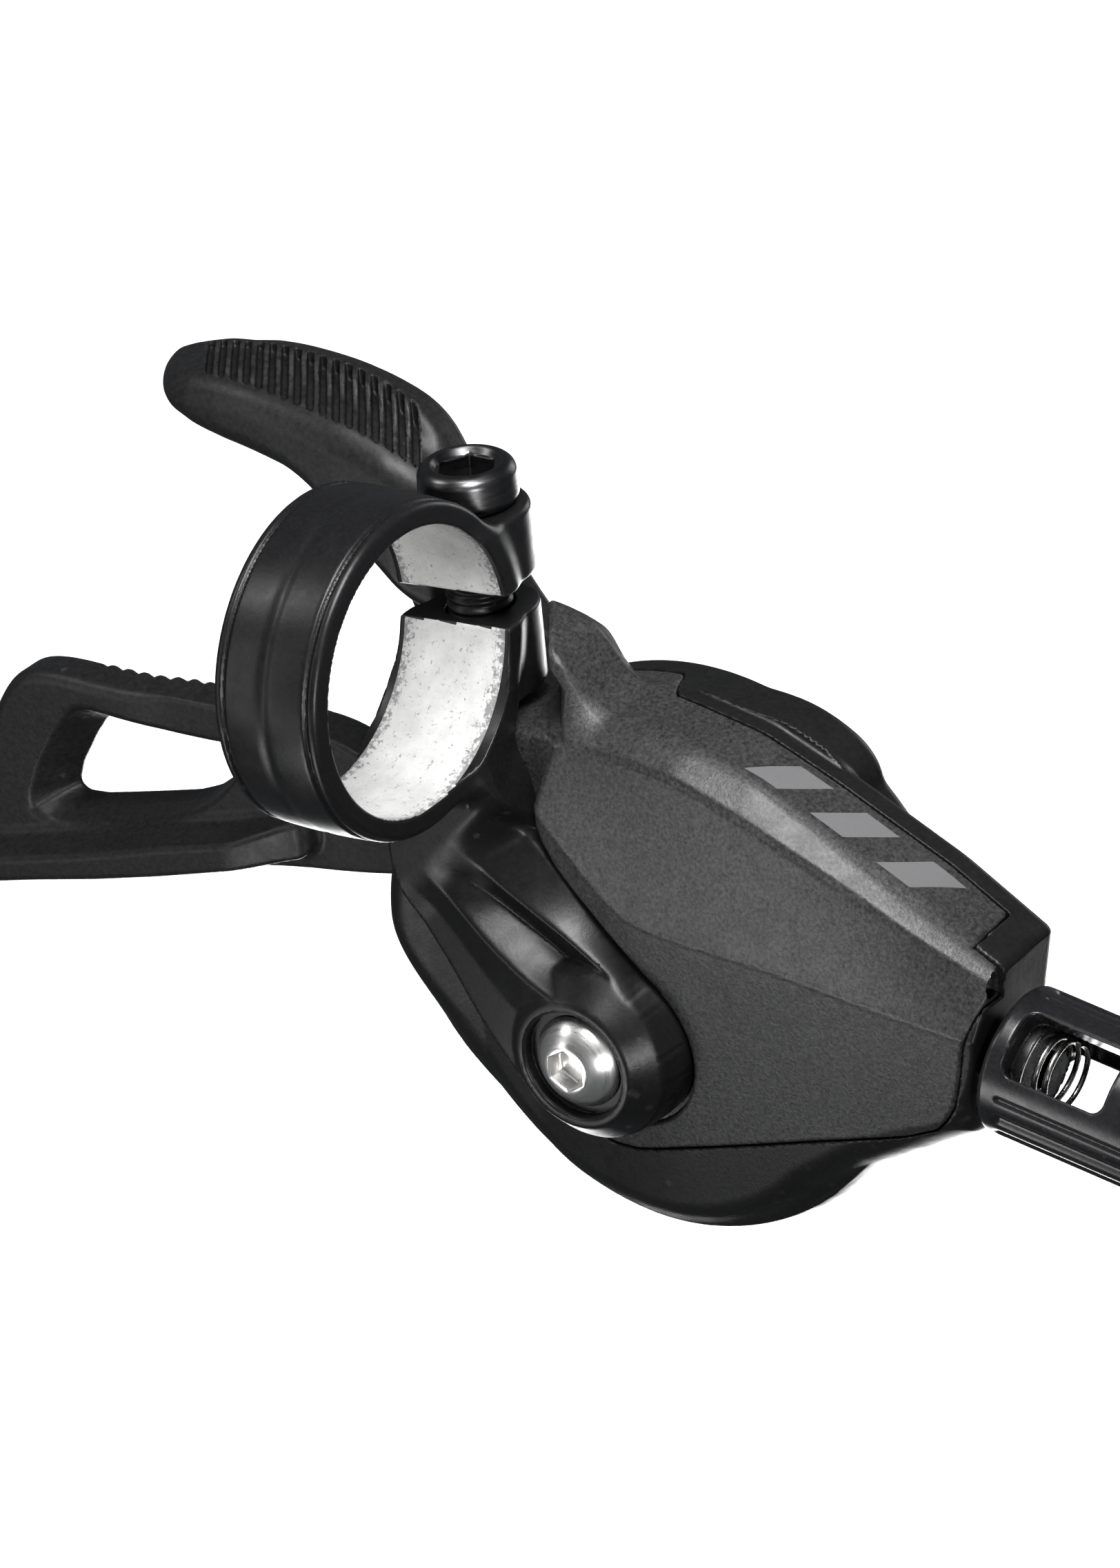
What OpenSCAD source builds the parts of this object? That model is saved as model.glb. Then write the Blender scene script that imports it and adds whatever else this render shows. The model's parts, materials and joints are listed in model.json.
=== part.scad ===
// Right-hand trigger shifter for a bicycle handlebar, with its band clamp,
// two thumb levers, indexing mechanism and cable adjuster.
// Y is the handlebar's axis and points outboard, towards the grip.
// Z is the clamp bolt's axis. X is the levers' axis and points away from the cover.
// The origin is on the handlebar's axis, in the middle of the clamp band.

/* [Clamp] */
// Radius of the handlebar seat
bar_r = 11.1; // [11.1:0.1:11.2]
// Width of the band along the handlebar
band_w = 9.4; // [9:0.1:10]
// Wall of the band
band_t = 1.9; // [1.8:0.1:2.2]
// Gap between the clamp's two ears
ear_gap = 2.5; // [2:0.5:3.5]
// Distance of the clamp bolt from the handlebar's axis
pinch_x = 14.4; // [14.2:0.1:14.6]
// Radius of the ears around the clamp bolt
ear_r = 4.5; // [4.4:0.1:4.7]

/* [Housing] */
// Radius of the round housing
case_r = 21.8; // [21.6:0.1:22.2]
// Front face of the cover
face_x = 8.4; // [8.2:0.1:8.6]
// Joint between cover and case along the top
seam_x = 16; // [15.9:0.1:16.1]
// Back of the housing's tapered part
taper_x = 18.4; // [18.3:0.1:18.5]
// Back face of the round case
back_x = 22.2; // [22:0.1:22.3]
// Wall of the cover and the case
wall = 1.4; // [1.2:0.1:1.5]

/* [Mechanism] */
// Radius of the cable in the spool's groove
groove_r = 10.3; // [10.2:0.1:10.4]
// Turn of the spool for one gear
click = 20; // [20]
// Tip radius of the ratchet wheel
ratchet_r = 12.8; // [12.6:0.1:12.9]
// Depth of a ratchet tooth
tooth_h = 1.5; // [1.4:0.1:1.6]
// Angle between a pawl's raised and engaged positions
pawl_lift = 10; // [9:0.5:10]
// Radius of the main axle
axle_r = 3.5; // [3.4:0.1:3.6]

/* [Levers] */
// Distance from the main axle to the middle of the thumb pad
pad_reach = 52; // [51:0.5:53]
// Width of the thumb pad along X
pad_w = 8.2; // [7.6:0.2:8.4]
// Thickness of the main lever's arm
arm_t = 2.9; // [2.6:0.1:3]
// Thickness of the release lever
release_t = 4; // [3.6:0.1:4]

/* [Cable adjuster] */
// Radius of the adjuster barrel
barrel_r = 5.8; // [5.6:0.1:6]
// Length of the adjuster barrel
barrel_l = 17; // [16:0.5:18]
// Downward slope of the cable exit
cable_slope = 10.8; // [10.8]

/* [Hidden] */
$fn = 64;
fine = 32;
cut = 0.5;
run_gap = 0.06;
fit_gap = 0.02;

band_r = bar_r + band_t;
ear_top = 6.9;
gap_mid = -0.3;
gap_low = gap_mid - ear_gap / 2;
lug_low = -8;
pinch_r = 2.45;
pinch_head_r = 3.9;
pinch_head_h = 3.4;
hex_r4 = 2.3;

axle_y = -12;
axle_z = -33.4;
case_y = -15.1;
case_z = -28.5;
rim_y = -13.4;
rim_z = -28.9;
rim_x = 11.2;
bump_x = 16.9;
boss_back_x = 10.2;
boss_r = 7.2;
boss_rim_r = 5;
boss_rim_x = 4.1;
boss_base_x = 7;
counterbore_r = 4.4;
head_seat_x = 5.2;
dome_r = 3.85;
dome_hex_r = 1.7;
dome_tip_x = 2.6;
mount_thread_r = 2;
arm_front_x = 5.5;
pad_turn = 50.8;

cable_x = 13.3;
nose_y = -45.8;
nose_z = -29.2;
nose_top = 7;
nose_bottom = 5.8;
nose_l = 3.6;
nose_in = 9;
tangent_top = 118;
tangent_bottom = 237.5;
tangent_k = 0.985;

plate_t = 1;
top_plate_x = boss_back_x + 0.1;
spool_x = 11.6;
spool_w = 3.4;
spool_r = groove_r + 2.4;
ratchet_x = spool_x + spool_w + 0.05;
ratchet_t = 1.2;
drive_x = 16.9;
drive_t = 1.1;
base_x = 18.5;
base_t = 1.2;
arm_x = back_x + 0.5;
washer_x = arm_x + arm_t + 0.25;
washer_t = 0.5;
nut_x = washer_x + washer_t + 0.05;
nut_h = 2.6;
hub_r = 6.2;
bush_r = axle_r + 1;
stud_r = 2.5;

teeth = 360 / click;
pawl_pin_r = 1.1;
pawl_boss_r = 1.9;
pawl_reach = 10;
tip_r = ratchet_r - tooth_h + 0.35;
pin_ring_r = sqrt(tip_r * tip_r + pawl_reach * pawl_reach);
pin_lead = atan(pawl_reach / tip_r);
drive_tip_at = 180;
hold_tip_at = 60;

release_y = 0.5;
release_z = -21;
release_x = 12.6;
release_pin_r = 1.6;
release_boss_r = 3;

screw_spots = [[-34.6, -24.2], [-32.4, -37], [-6, -12.5]];
screw_r = 1.2;
post_r = 2.2;
screw_head_r = 2.1;
screw_head_h = 1.3;
screw_seat_x = taper_x - 0.1;
screw_well_r = 3.3;

plug_y = -24.5;
plug_z = -40;
plug_r = 2.5;

stem_r = 2.5;
stem_in = 7.5;
barrel_gap = 0.4;
barrel_bore_r = 3.7;
barrel_floor = 2.6;
window_turn = 132;
window_z = 2.1;
window_w = 5.2;
window_l = 8.6;
flute_r = 0.6;
cable_bore_r = 1.5;
seat_r = 3.5;
socket_r = 2.55;
socket_l = 5;
insert_r = 3.1;
insert_l = 6.5;

satin_black = [0.1, 0.1, 0.11];
dark_grey = [0.23, 0.23, 0.24];
lever_grey = [0.16, 0.16, 0.17];
case_black = [0.07, 0.07, 0.075];
steel = [0.66, 0.66, 0.68];
zinc = [0.75, 0.74, 0.7];
bolt_steel = [0.3, 0.3, 0.31];
bright = [0.86, 0.86, 0.87];
brass = [0.78, 0.62, 0.34];
nylon = [0.82, 0.8, 0.74];

function turn_point(r, a) = [r * cos(a), r * sin(a)];
function unit(v) = v / norm(v);
function normal(p, q) = unit([q.y - p.y, p.x - q.x]);
// A corner of an outline, moved inwards by i from the two edges that meet there
function inset(p, n, m, i) = p + i * (n + m) / (1 + n * m);

// Draws a profile in the Y-Z plane at x and gives it a thickness along +X
module flat(x, t) {
    translate([x, 0, 0]) rotate([90, 0, 90]) linear_extrude(t) children();
}

// A round bar along X through the point y, z
module rod(x, t, y, z, r) {
    translate([x, y, z]) rotate([0, 90, 0]) cylinder(r = r, h = t);
}

// Carries its children to the cable's exit, with local Z along the cable
module on_cable() {
    translate([cable_x, nose_y, nose_z]) rotate([90 + cable_slope, 0, 0]) children();
}

// ---------------------------------------------------------------- housing outline
nose_up = [-sin(cable_slope), cos(cable_slope)];
case_mid = [case_y, case_z];
rim_mid = [rim_y, rim_z];
corner_top = [nose_y, nose_z] + nose_top * nose_up;
corner_bottom = [nose_y, nose_z] - nose_bottom * nose_up;
root_top = rim_mid + turn_point(case_r * tangent_k, tangent_top);
root_bottom = rim_mid + turn_point(case_r * tangent_k, tangent_bottom);
waist = [-33.6, -41];
normal_top = -normal(corner_top, root_top);
normal_end = -normal(corner_bottom, corner_top);
normal_bottom = -normal(waist, corner_bottom);
normal_waist = -normal(root_bottom, waist);

// The housing seen along X: a disc that tapers to a nose at the cable's exit
module outline(i) {
    translate(rim_mid) circle(r = case_r - i);
    polygon([root_top - i * unit(root_top - rim_mid),
             inset(corner_top, -normal_top, -normal_end, i),
             inset(corner_bottom, -normal_end, -normal_bottom, i),
             inset(waist, -normal_bottom, -normal_waist, i),
             root_bottom - i * unit(root_bottom - rim_mid),
             rim_mid]);
}

// The half of the housing above the side joint between cover and case
module upper_half() {
    polygon([[12, -14], [12, 5], [-60, 5], [-60, -31], [-44, -31]]);
}

// The part of the housing that lies from z1 to z2 along the cable
module nose_zone(z1, z2) {
    on_cable() translate([-30, -60, z1]) cube([60, 120, z2 - z1]);
}

module release_slot() {
    translate([release_x - 0.4, -0.8, -31]) cube([release_t + 0.8, 14, 22]);
}

module release_well() {
    rod(release_x - 0.4, release_t + 0.8, release_y, release_z, release_boss_r + 0.8);
}

module adjuster_bore(r) {
    on_cable() translate([0, 0, -20]) cylinder(r = r, h = 22);
}

module clamp_band() color(satin_black) difference() {
    union() {
        band_ring();
        clamp_ears();
        clamp_arm();
    }
    rotate([90, 0, 0]) cylinder(r = bar_r, h = 3 * band_w, center = true);
    translate([bar_r / 2, -band_w, gap_low]) cube([2 * bar_r, 2 * band_w, ear_gap]);
    translate([pinch_x, 0, gap_mid]) cylinder(r = pinch_r + 0.25, h = 2 * ear_top);
    translate([pinch_x, 0, lug_low - cut]) cylinder(r = pinch_r + 0.05, h = -lug_low + cut);
    translate([pinch_x, 0, ear_top]) cylinder(r = pinch_head_r + 0.2, h = ear_top);
    rod(boss_rim_x - cut, head_seat_x - boss_rim_x + cut, axle_y, axle_z, counterbore_r);
    rod(head_seat_x - cut, 2 * boss_r, axle_y, axle_z, mount_thread_r + 0.15);
}

// The band round the handlebar, slightly crowned with eased edges
module band_ring() {
    rotate([90, 0, 0]) rotate_extrude() polygon([
        [bar_r - cut, -band_w / 2], [band_r - 0.7, -band_w / 2], [band_r - 0.1, -band_w / 2 + 0.8],
        [band_r, 0], [band_r - 0.1, band_w / 2 - 0.8], [band_r - 0.7, band_w / 2],
        [bar_r - cut, band_w / 2]]);
}

// The upper ear under the bolt's head, and the threaded lug below the gap
module clamp_ears() {
    ear_h = ear_top - lug_low;
    translate([pinch_x, 0, lug_low]) cylinder(r = ear_r, h = ear_h);
    translate([bar_r / 2, -band_w / 2, lug_low]) cube([pinch_x - bar_r / 2, band_w, ear_h - 0.4]);
}

// The arm from the band to the round boss on the cover
module clamp_arm() {
    flat(arm_front_x, boss_back_x - arm_front_x) polygon([
        [-band_w / 2, -6], [-4.9, -15], [-8.4, -19], [-14.3, -25.4], [-18, -29.5],
        [axle_y, axle_z], [-6.4, -38], [-3.4, -33.7], [1, -27], [3.9, -22.6], [band_w / 2, -19],
        [band_w / 2, -6]]);
    rod(boss_base_x, boss_back_x - boss_base_x, axle_y, axle_z, boss_r);
    translate([boss_rim_x, axle_y, axle_z]) rotate([0, 90, 0])
        cylinder(r1 = boss_rim_r, r2 = boss_r, h = boss_base_x - boss_rim_x);
}

module clamp_bolt() color(bolt_steel) translate([pinch_x, 0, 0]) difference() {
    union() {
        translate([0, 0, lug_low + 1]) cylinder(r = pinch_r, h = ear_top - lug_low);
        translate([0, 0, ear_top + fit_gap]) cylinder(r = pinch_head_r, h = pinch_head_h - 0.6);
        translate([0, 0, ear_top + fit_gap + pinch_head_h - 0.6])
            cylinder(r1 = pinch_head_r, r2 = pinch_head_r - 0.6, h = 0.6);
    }
    translate([0, 0, ear_top + pinch_head_h - 2.2]) cylinder(r = hex_r4, h = 3, $fn = 6);
}

// Domed screw that holds the clamp's arm to the main axle
module bracket_bolt() color(bright) translate([0, axle_y, axle_z]) rotate([0, 90, 0]) difference() {
    dome_h = head_seat_x - dome_tip_x - fit_gap;
    ball_r = (dome_r * dome_r + dome_h * dome_h) / (2 * dome_h);
    union() {
        intersection() {
            translate([0, 0, dome_tip_x + ball_r]) sphere(r = ball_r);
            translate([0, 0, dome_tip_x]) cylinder(r = 2 * dome_r, h = dome_h);
        }
        translate([0, 0, head_seat_x - 0.4]) cylinder(r = mount_thread_r - 0.05, h = 9);
    }
    translate([0, 0, dome_tip_x - cut]) cylinder(r = dome_hex_r, h = cut + 1.8, $fn = 6);
}

module front_cover() color(dark_grey) difference() {
    union() {
        hull() {
            flat(face_x, 0.2) outline(2.4, $fn = fine);
            flat(rim_x - 0.2, 0.2) outline(0, $fn = fine);
        }
        flat(rim_x - 0.1, seam_x - rim_x) intersection() {
            outline(0);
            upper_half();
        }
        flat(rim_x + 0.9, bump_x - rim_x - 0.9) polygon([
            [-5.1, -8], [-5.1, -2.4], [-6.9, -1], [-9.4, -1.7], [-11.6, -4.2], [-13.8, -5.8], [-16, -9]]);
    }
    difference() {
        flat(face_x + wall, back_x) outline(3, $fn = fine);
        for (s = screw_spots) rod(face_x, seam_x - face_x - 0.1, s.x, s.y, post_r);
    }
    flat(rim_x, back_x) outline(wall);
    flat(seam_x, back_x) outline(-0.05);
    rod(face_x - cut, back_x, axle_y, axle_z, boss_r + 0.4);
    clamp_arm_pocket();
    for (s = screw_spots) rod(face_x + wall, back_x, s.x, s.y, screw_r + 0.05);
    nose_zone(-nose_l - 0.05, 10);
    release_slot();
    release_well();
}

// Recess in the cover's face that leaves room for the clamp's arm
module clamp_arm_pocket() {
    flat(face_x - cut, boss_back_x - face_x + cut + 0.1) polygon([
        [-4.5, -4], [-5.6, -15], [-8.9, -18.6], [-14.9, -25], [-18.8, -29.5], [axle_y, axle_z],
        [-6.2, -39], [-2.7, -33.5], [1.7, -27], [4.6, -22.6], [5.3, -18.8], [5.3, -4]]);
}

module main_case() color(case_black) difference() {
    union() {
        flat(seam_x + 0.05, taper_x - seam_x - 0.05) outline(0);
        rod(taper_x - cut, back_x - taper_x + cut, case_y, case_z, case_r);
        flat(rim_x + 0.05, seam_x - rim_x) difference() {
            outline(0);
            outline(wall);
            offset(delta = 0.05) upper_half();
        }
        nose_block();
        intersection() {
            flat(face_x + 0.3, taper_x - face_x - 0.3) outline(0);
            nose_zone(-nose_l, 0);
        }
    }
    case_hollow();
    rod(seam_x, back_x, axle_y, axle_z, hub_r + 0.5);
    for (s = screw_spots) {
        rod(seam_x - cut, back_x, s.x, s.y, screw_r + 0.2);
        rod(screw_seat_x - screw_head_h, back_x, s.x, s.y, screw_head_r + 0.15);
    }
    adjuster_bore(stem_r + 0.3);
    on_cable() translate([0, 0, -nose_in - 1]) cylinder(r = insert_r + 0.02, h = nose_in - 0.5);
    release_slot();
    rod(seam_x, back_x, plug_y, plug_z, plug_r + 0.05);
}

// The block inside the case that holds the adjuster's insert, clear of the cover and its posts
module nose_block() {
    difference() {
        intersection() {
            union() {
                flat(face_x + wall + 0.1, taper_x - face_x - wall - 1) outline(3.1);
                flat(rim_x + 0.05, taper_x - rim_x - 1) outline(wall + 0.1);
            }
            nose_zone(-nose_in, -nose_l + 0.1);
        }
        for (s = screw_spots) rod(face_x, seam_x - face_x, s.x, s.y, post_r + 0.1);
    }
}

// Space inside the case, which leaves the screw posts and the nose block standing
module case_hollow() {
    difference() {
        union() {
            flat(seam_x - cut, taper_x - wall - seam_x + cut) outline(wall);
            flat(seam_x, back_x - wall - seam_x) intersection() {
                translate(case_mid) circle(r = case_r - wall);
                translate(rim_mid) circle(r = case_r - wall);
            }
        }
        for (s = screw_spots) rod(seam_x + 0.05, back_x, s.x, s.y, screw_well_r);
        nose_zone(-nose_in, 1);
    }
}

// Plug in the hole through which a new inner cable is threaded
module cable_port_plug() color(lever_grey) {
    rod(back_x - wall - 0.3, wall + 0.3, plug_y, plug_z, plug_r);
}

// Stamped plate that spans the axle and the two pins
module stamped_plate(x, t, hole_r) {
    pin = hold_pin();
    flat(x, t) difference() {
        hull() {
            translate([axle_y, axle_z]) circle(r = hole_r + 3, $fn = fine);
            translate([release_y, release_z]) circle(r = release_pin_r + 1.1, $fn = fine);
            translate(pin) circle(r = pawl_pin_r + 1.6, $fn = fine);
        }
        translate([axle_y, axle_z]) circle(r = hole_r);
        translate([release_y, release_z]) circle(r = release_pin_r + fit_gap);
        translate(pin) circle(r = pawl_pin_r + fit_gap);
    }
}

module top_plate() color(zinc) stamped_plate(top_plate_x, plate_t, axle_r + fit_gap);

module base_plate() color(zinc) stamped_plate(base_x, base_t, hub_r + 0.4);

module main_axle() color(steel) translate([0, axle_y, axle_z]) rotate([0, 90, 0]) difference() {
    union() {
        translate([0, 0, boss_back_x + fit_gap])
            cylinder(r = axle_r, h = washer_x - boss_back_x - fit_gap - 0.05);
        translate([0, 0, washer_x - 1]) cylinder(r = stud_r, h = nut_x + nut_h + 1.4 - washer_x);
    }
    translate([0, 0, boss_back_x - cut]) cylinder(r = mount_thread_r, h = 6);
}

module axle_washer() color(steel) difference() {
    rod(washer_x, washer_t, axle_y, axle_z, hub_r);
    rod(washer_x - cut, 2, axle_y, axle_z, stud_r + 0.05);
}

module axle_nut() color(bolt_steel) difference() {
    translate([nut_x, axle_y, axle_z]) rotate([0, 90, 0]) cylinder(r = 4.6, h = nut_h, $fn = 6);
    rod(nut_x - cut, nut_h + 1, axle_y, axle_z, stud_r + 0.03);
}

module housing_screws() color(bolt_steel) for (s = screw_spots) difference() {
    union() {
        rod(screw_seat_x - screw_head_h + fit_gap, screw_head_h - 0.1, s.x, s.y, screw_head_r);
        rod(face_x + wall + 1, screw_seat_x - face_x - wall - 1 - screw_head_h + 0.1, s.x, s.y, screw_r);
    }
    rod(screw_seat_x - 0.9, 2, s.x, s.y, 0.7, $fn = 6);
}

// A plain bush on the main axle
module bush(x, t) {
    difference() {
        rod(x, t, axle_y, axle_z, bush_r);
        rod(x - cut, t + 1, axle_y, axle_z, axle_r + fit_gap);
    }
}

module spool_bush() color(nylon) {
    bush_x = top_plate_x + plate_t + 0.1;
    bush(bush_x, ratchet_x + ratchet_t + 0.1 - bush_x);
}

module lever_bush() color(brass) bush(drive_x - 0.3, washer_x - drive_x + 0.25);

// A flat spiral spring wound from radius a to radius b round the main axle
module spiral_spring(x, t, a, b, turns, strip) {
    steps = 28 * turns;
    function at(i, r) = turn_point(r + (b - a) * i / steps, 360 * turns * i / steps);
    flat(x, t) translate([axle_y, axle_z]) polygon(concat(
        [for (i = [0 : steps]) at(i, a)], [for (i = [steps : -1 : 0]) at(i, a + strip)]));
}

module spool_spring() color(steel) spiral_spring(spool_x + 0.1, 1.7, bush_r + 0.3, 8, 3, 0.35);

module lever_spring() color(steel) spiral_spring(base_x + base_t + 0.15, 0.6, hub_r + 0.4, 9, 2, 0.45);

module release_spring() color(steel) flat(release_x + release_t + 0.25, 0.8) difference() {
    translate([release_y, release_z]) circle(r = release_boss_r - 0.3);
    translate([release_y, release_z]) circle(r = release_pin_r + 0.2);
}

// A pin between the two stamped plates
module plate_pin(p, r) {
    rod(top_plate_x + 0.1, base_x + base_t - top_plate_x - 0.1, p.x, p.y, r);
}

module pawl_pin() color(steel) plate_pin(hold_pin(), pawl_pin_r);

module release_pin() color(steel) plate_pin([release_y, release_z], release_pin_r);

module adjuster_insert() color(brass) on_cable() difference() {
    translate([0, 0, -nose_in + 0.6]) cylinder(r = insert_r, h = insert_l);
    translate([0, 0, -nose_in - cut]) cylinder(r = stem_r + 0.05, h = insert_l + 2);
}

module cable_spool() color(nylon) difference() {
    translate([spool_x, axle_y, axle_z]) rotate([0, 90, 0]) rotate_extrude() polygon([
        [bush_r + run_gap, 2.2], [8.6, 2.2], [8.6, 0], [spool_r, 0], [spool_r, 0.8],
        [groove_r - 0.6, 1.3], [groove_r - 0.6, 2.1], [spool_r, 2.6], [spool_r, spool_w],
        [bush_r + run_gap, spool_w]]);
    translate([spool_x - cut, axle_y, axle_z]) rotate([-150, 0, 0]) translate([0, groove_r + 0.6, 0])
        rotate([0, 90, 0]) cylinder(r = 1.5, h = spool_w);
}

module ratchet_wheel() color(steel) flat(ratchet_x, ratchet_t) translate([axle_y, axle_z]) difference() {
    polygon([for (k = [0 : teeth - 1]) each [
        turn_point(ratchet_r - tooth_h, k * click - 16),
        turn_point(ratchet_r, k * click - 1),
        turn_point(ratchet_r - tooth_h, k * click)]]);
    circle(r = bush_r + run_gap);
}

// Where the holding pawl's fixed pin stands
function hold_pin() = [axle_y, axle_z] + turn_point(pin_ring_r, hold_tip_at + pin_lead);

// A pawl raised off the wheel, that reaches the tooth face at angle a when it drops
module pawl(a) {
    pin = turn_point(pin_ring_r, a + pin_lead);
    flat(ratchet_x + 0.05, ratchet_t - 0.1) translate([axle_y, axle_z]) difference() {
        translate(pin) rotate(pawl_lift) translate(-pin) union() {
            translate(pin) circle(r = pawl_boss_r);
            polygon([turn_point(tip_r, a + 0.8), turn_point(tip_r + 2.1, a + 1.2),
                     pin + turn_point(pawl_boss_r - 0.05, a + 40),
                     pin - turn_point(pawl_boss_r - 0.05, a + 40),
                     turn_point(ratchet_r + 0.5, a + 22), turn_point(ratchet_r + 0.4, a + 12),
                     turn_point(tip_r + 0.5, a + 5.5), turn_point(tip_r, a + 3.2)]);
        }
        translate(pin) circle(r = pawl_pin_r + run_gap);
    }
}

module drive_pawl() color(steel) pawl(drive_tip_at);

module holding_pawl() color(steel) pawl(hold_tip_at);

// Plate that turns with the main lever and carries the drive pawl
module drive_plate() color(zinc) {
    pin = [axle_y, axle_z] + turn_point(pin_ring_r, drive_tip_at + pin_lead);
    flat(drive_x, drive_t) difference() {
        hull() {
            translate([axle_y, axle_z]) circle(r = hub_r + 0.8, $fn = fine);
            translate(pin) circle(r = pawl_boss_r, $fn = fine);
        }
        translate([axle_y, axle_z]) circle(r = bush_r + run_gap);
    }
    rod(ratchet_x + 0.1, drive_x - ratchet_x, pin.x, pin.y, pawl_pin_r);
}

// The large thumb lever: hub, flat arm behind the housing, and thumb pad
module main_lever() color(lever_grey) difference() {
    reach = unit([pad_reach * cos(pad_turn), pad_reach * sin(pad_turn)]);
    side = [-reach.y, reach.x];
    hub = [axle_y, axle_z];
    union() {
        rod(drive_x + drive_t + 0.05, arm_x + arm_t - drive_x - drive_t - 0.05, axle_y, axle_z, hub_r);
        flat(arm_x, arm_t) union() {
            translate(hub) circle(r = hub_r + 1.4);
            polygon([hub + 7 * side, hub + 36 * reach + 6.4 * side, hub + 46 * reach + 8.4 * side,
                     hub + 52 * reach - 2 * side, hub + 42 * reach - 5.4 * side, hub + 30 * reach - 5 * side,
                     hub - 7 * side]);
        }
        thumb_pad();
    }
    rod(drive_x, back_x, axle_y, axle_z, bush_r + run_gap);
}

// The pad that the thumb pushes, curved along its length
module thumb_pad() {
    flat(arm_x + arm_t - pad_w, pad_w) polygon([
        [8.4, 4.9], [10.4, 7.6], [13.4, 9.3], [17, 10.3], [21, 10.9], [25, 11], [28.6, 10.4], [31.2, 9.4],
        [32.2, 8.4], [31.8, 7.2], [29.5, 6], [26, 5.2], [22, 4.4], [18.6, 3], [15, 0.2], [11, -1.5]]);
}

// The hollow two-way release lever
module release_lever() color(lever_grey) difference() {
    union() {
        rod(release_x, release_t, release_y, release_z, release_boss_r);
        flat(release_x, release_t) difference() {
            polygon([[release_y, release_z + 2.9], [8, -18.3], [12.3, -16.3], [15.2, -15], [20, -14.7],
                     [27, -14.8], [36, -15.2], [41, -15], [45, -15.7], [48, -18], [51.4, -26.5],
                     [51.6, -32.4], [50, -34.6], [46, -33.8], [38, -31.5], [24, -27.8], [11, -26.2], [6, -25.2],
                     [release_y, release_z - 2.9]]);
            polygon([[26.4, -18.9], [33, -19], [38, -18.9], [41.2, -18.8], [43.6, -22.4], [44.6, -25.2],
                     [43.8, -26], [30.4, -23.2], [27.6, -21.4]]);
        }
        flat(release_x - 3.4, 3.5) polygon([
            [50, -33.7], [46.4, -32.8], [40.3, -31.4], [33, -29.5], [18.5, -25.8], [17.4, -25], [18.2, -24],
            [30, -26.6], [46, -30.2], [51, -31]]);
    }
    rod(release_x - cut, release_t + 1, release_y, release_z, release_pin_r + run_gap);
}

// Fluted barrel with one window through it from side to side, and a hollow threaded stem
module barrel_adjuster() color(satin_black) on_cable() difference() {
    union() {
        translate([0, 0, barrel_gap]) rotate_extrude() polygon([
            [0, 0], [barrel_r - 0.5, 0], [barrel_r, 0.5], [barrel_r, barrel_l - 3],
            [barrel_r - 0.9, barrel_l], [0, barrel_l]]);
        translate([0, 0, -stem_in]) cylinder(r = stem_r, h = stem_in + 1);
    }
    translate([0, 0, barrel_gap + barrel_floor]) cylinder(r = barrel_bore_r, h = barrel_l);
    translate([0, 0, -stem_in - cut]) cylinder(r = cable_bore_r, h = stem_in + 5);
    for (a = [-90, -60, 60, 90, 120, 240]) rotate(window_turn + a)
        translate([barrel_r + 0.1, 0, barrel_gap + 1.2]) cylinder(r = flute_r, h = barrel_l);
    difference() {
        rotate(window_turn) barrel_window();
        cylinder(r = barrel_bore_r, h = barrel_gap + barrel_floor);
    }
}

// A slot with one round end, through the barrel along local X
module barrel_window() {
    translate([0, 0, window_z + window_w / 2]) rotate([0, 90, 0])
        cylinder(r = window_w / 2, h = 4 * barrel_r, center = true);
    translate([-2 * barrel_r, -window_w / 2, window_z + window_w / 2])
        cube([4 * barrel_r, window_w, window_l - window_w / 2]);
}

// Sleeve that the cable's outer casing stops in
module housing_seat() color(case_black) on_cable() difference() {
    seat_end = barrel_gap + barrel_l - 0.4;
    translate([0, 0, seat_end - socket_l - 1.2]) cylinder(r = seat_r, h = socket_l + 1.2);
    translate([0, 0, seat_end - socket_l]) cylinder(r = socket_r, h = socket_l + 1);
    translate([0, 0, seat_end - socket_l - 2]) cylinder(r = 0.9, h = 4);
}

// Close-wound detent spring round the cable, between the barrel's floor and the seat
module adjuster_spring() color(bright) on_cable()
    for (k = [0 : 3]) translate([0, 0, barrel_gap + barrel_floor + 0.45 + 0.7 * k])
        rotate_extrude() translate([2.7, 0]) circle(r = 0.4, $fn = 16);

clamp_band();
clamp_bolt();
bracket_bolt();
front_cover();
main_case();
top_plate();
base_plate();
main_axle();
axle_washer();
axle_nut();
housing_screws();
spool_bush();
lever_bush();
spool_spring();
lever_spring();
release_spring();
pawl_pin();
release_pin();
cable_port_plug();
adjuster_insert();
cable_spool();
ratchet_wheel();
main_lever();
drive_plate();
drive_pawl();
holding_pawl();
release_lever();
barrel_adjuster();
housing_seat();
adjuster_spring();
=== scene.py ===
"""Looks for a right-hand bicycle trigger shifter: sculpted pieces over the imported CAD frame.

Visible castings and mouldings are described as signed distance fields in millimetres, in the
row frame (X away from the cover, Y outboard along the handlebar, Z along the clamp bolt), and
meshed here as quads. Everything else is a CAD node with its own material.
"""

import json
import math

import bpy
import numpy as np
from mathutils import Matrix, Vector


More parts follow.
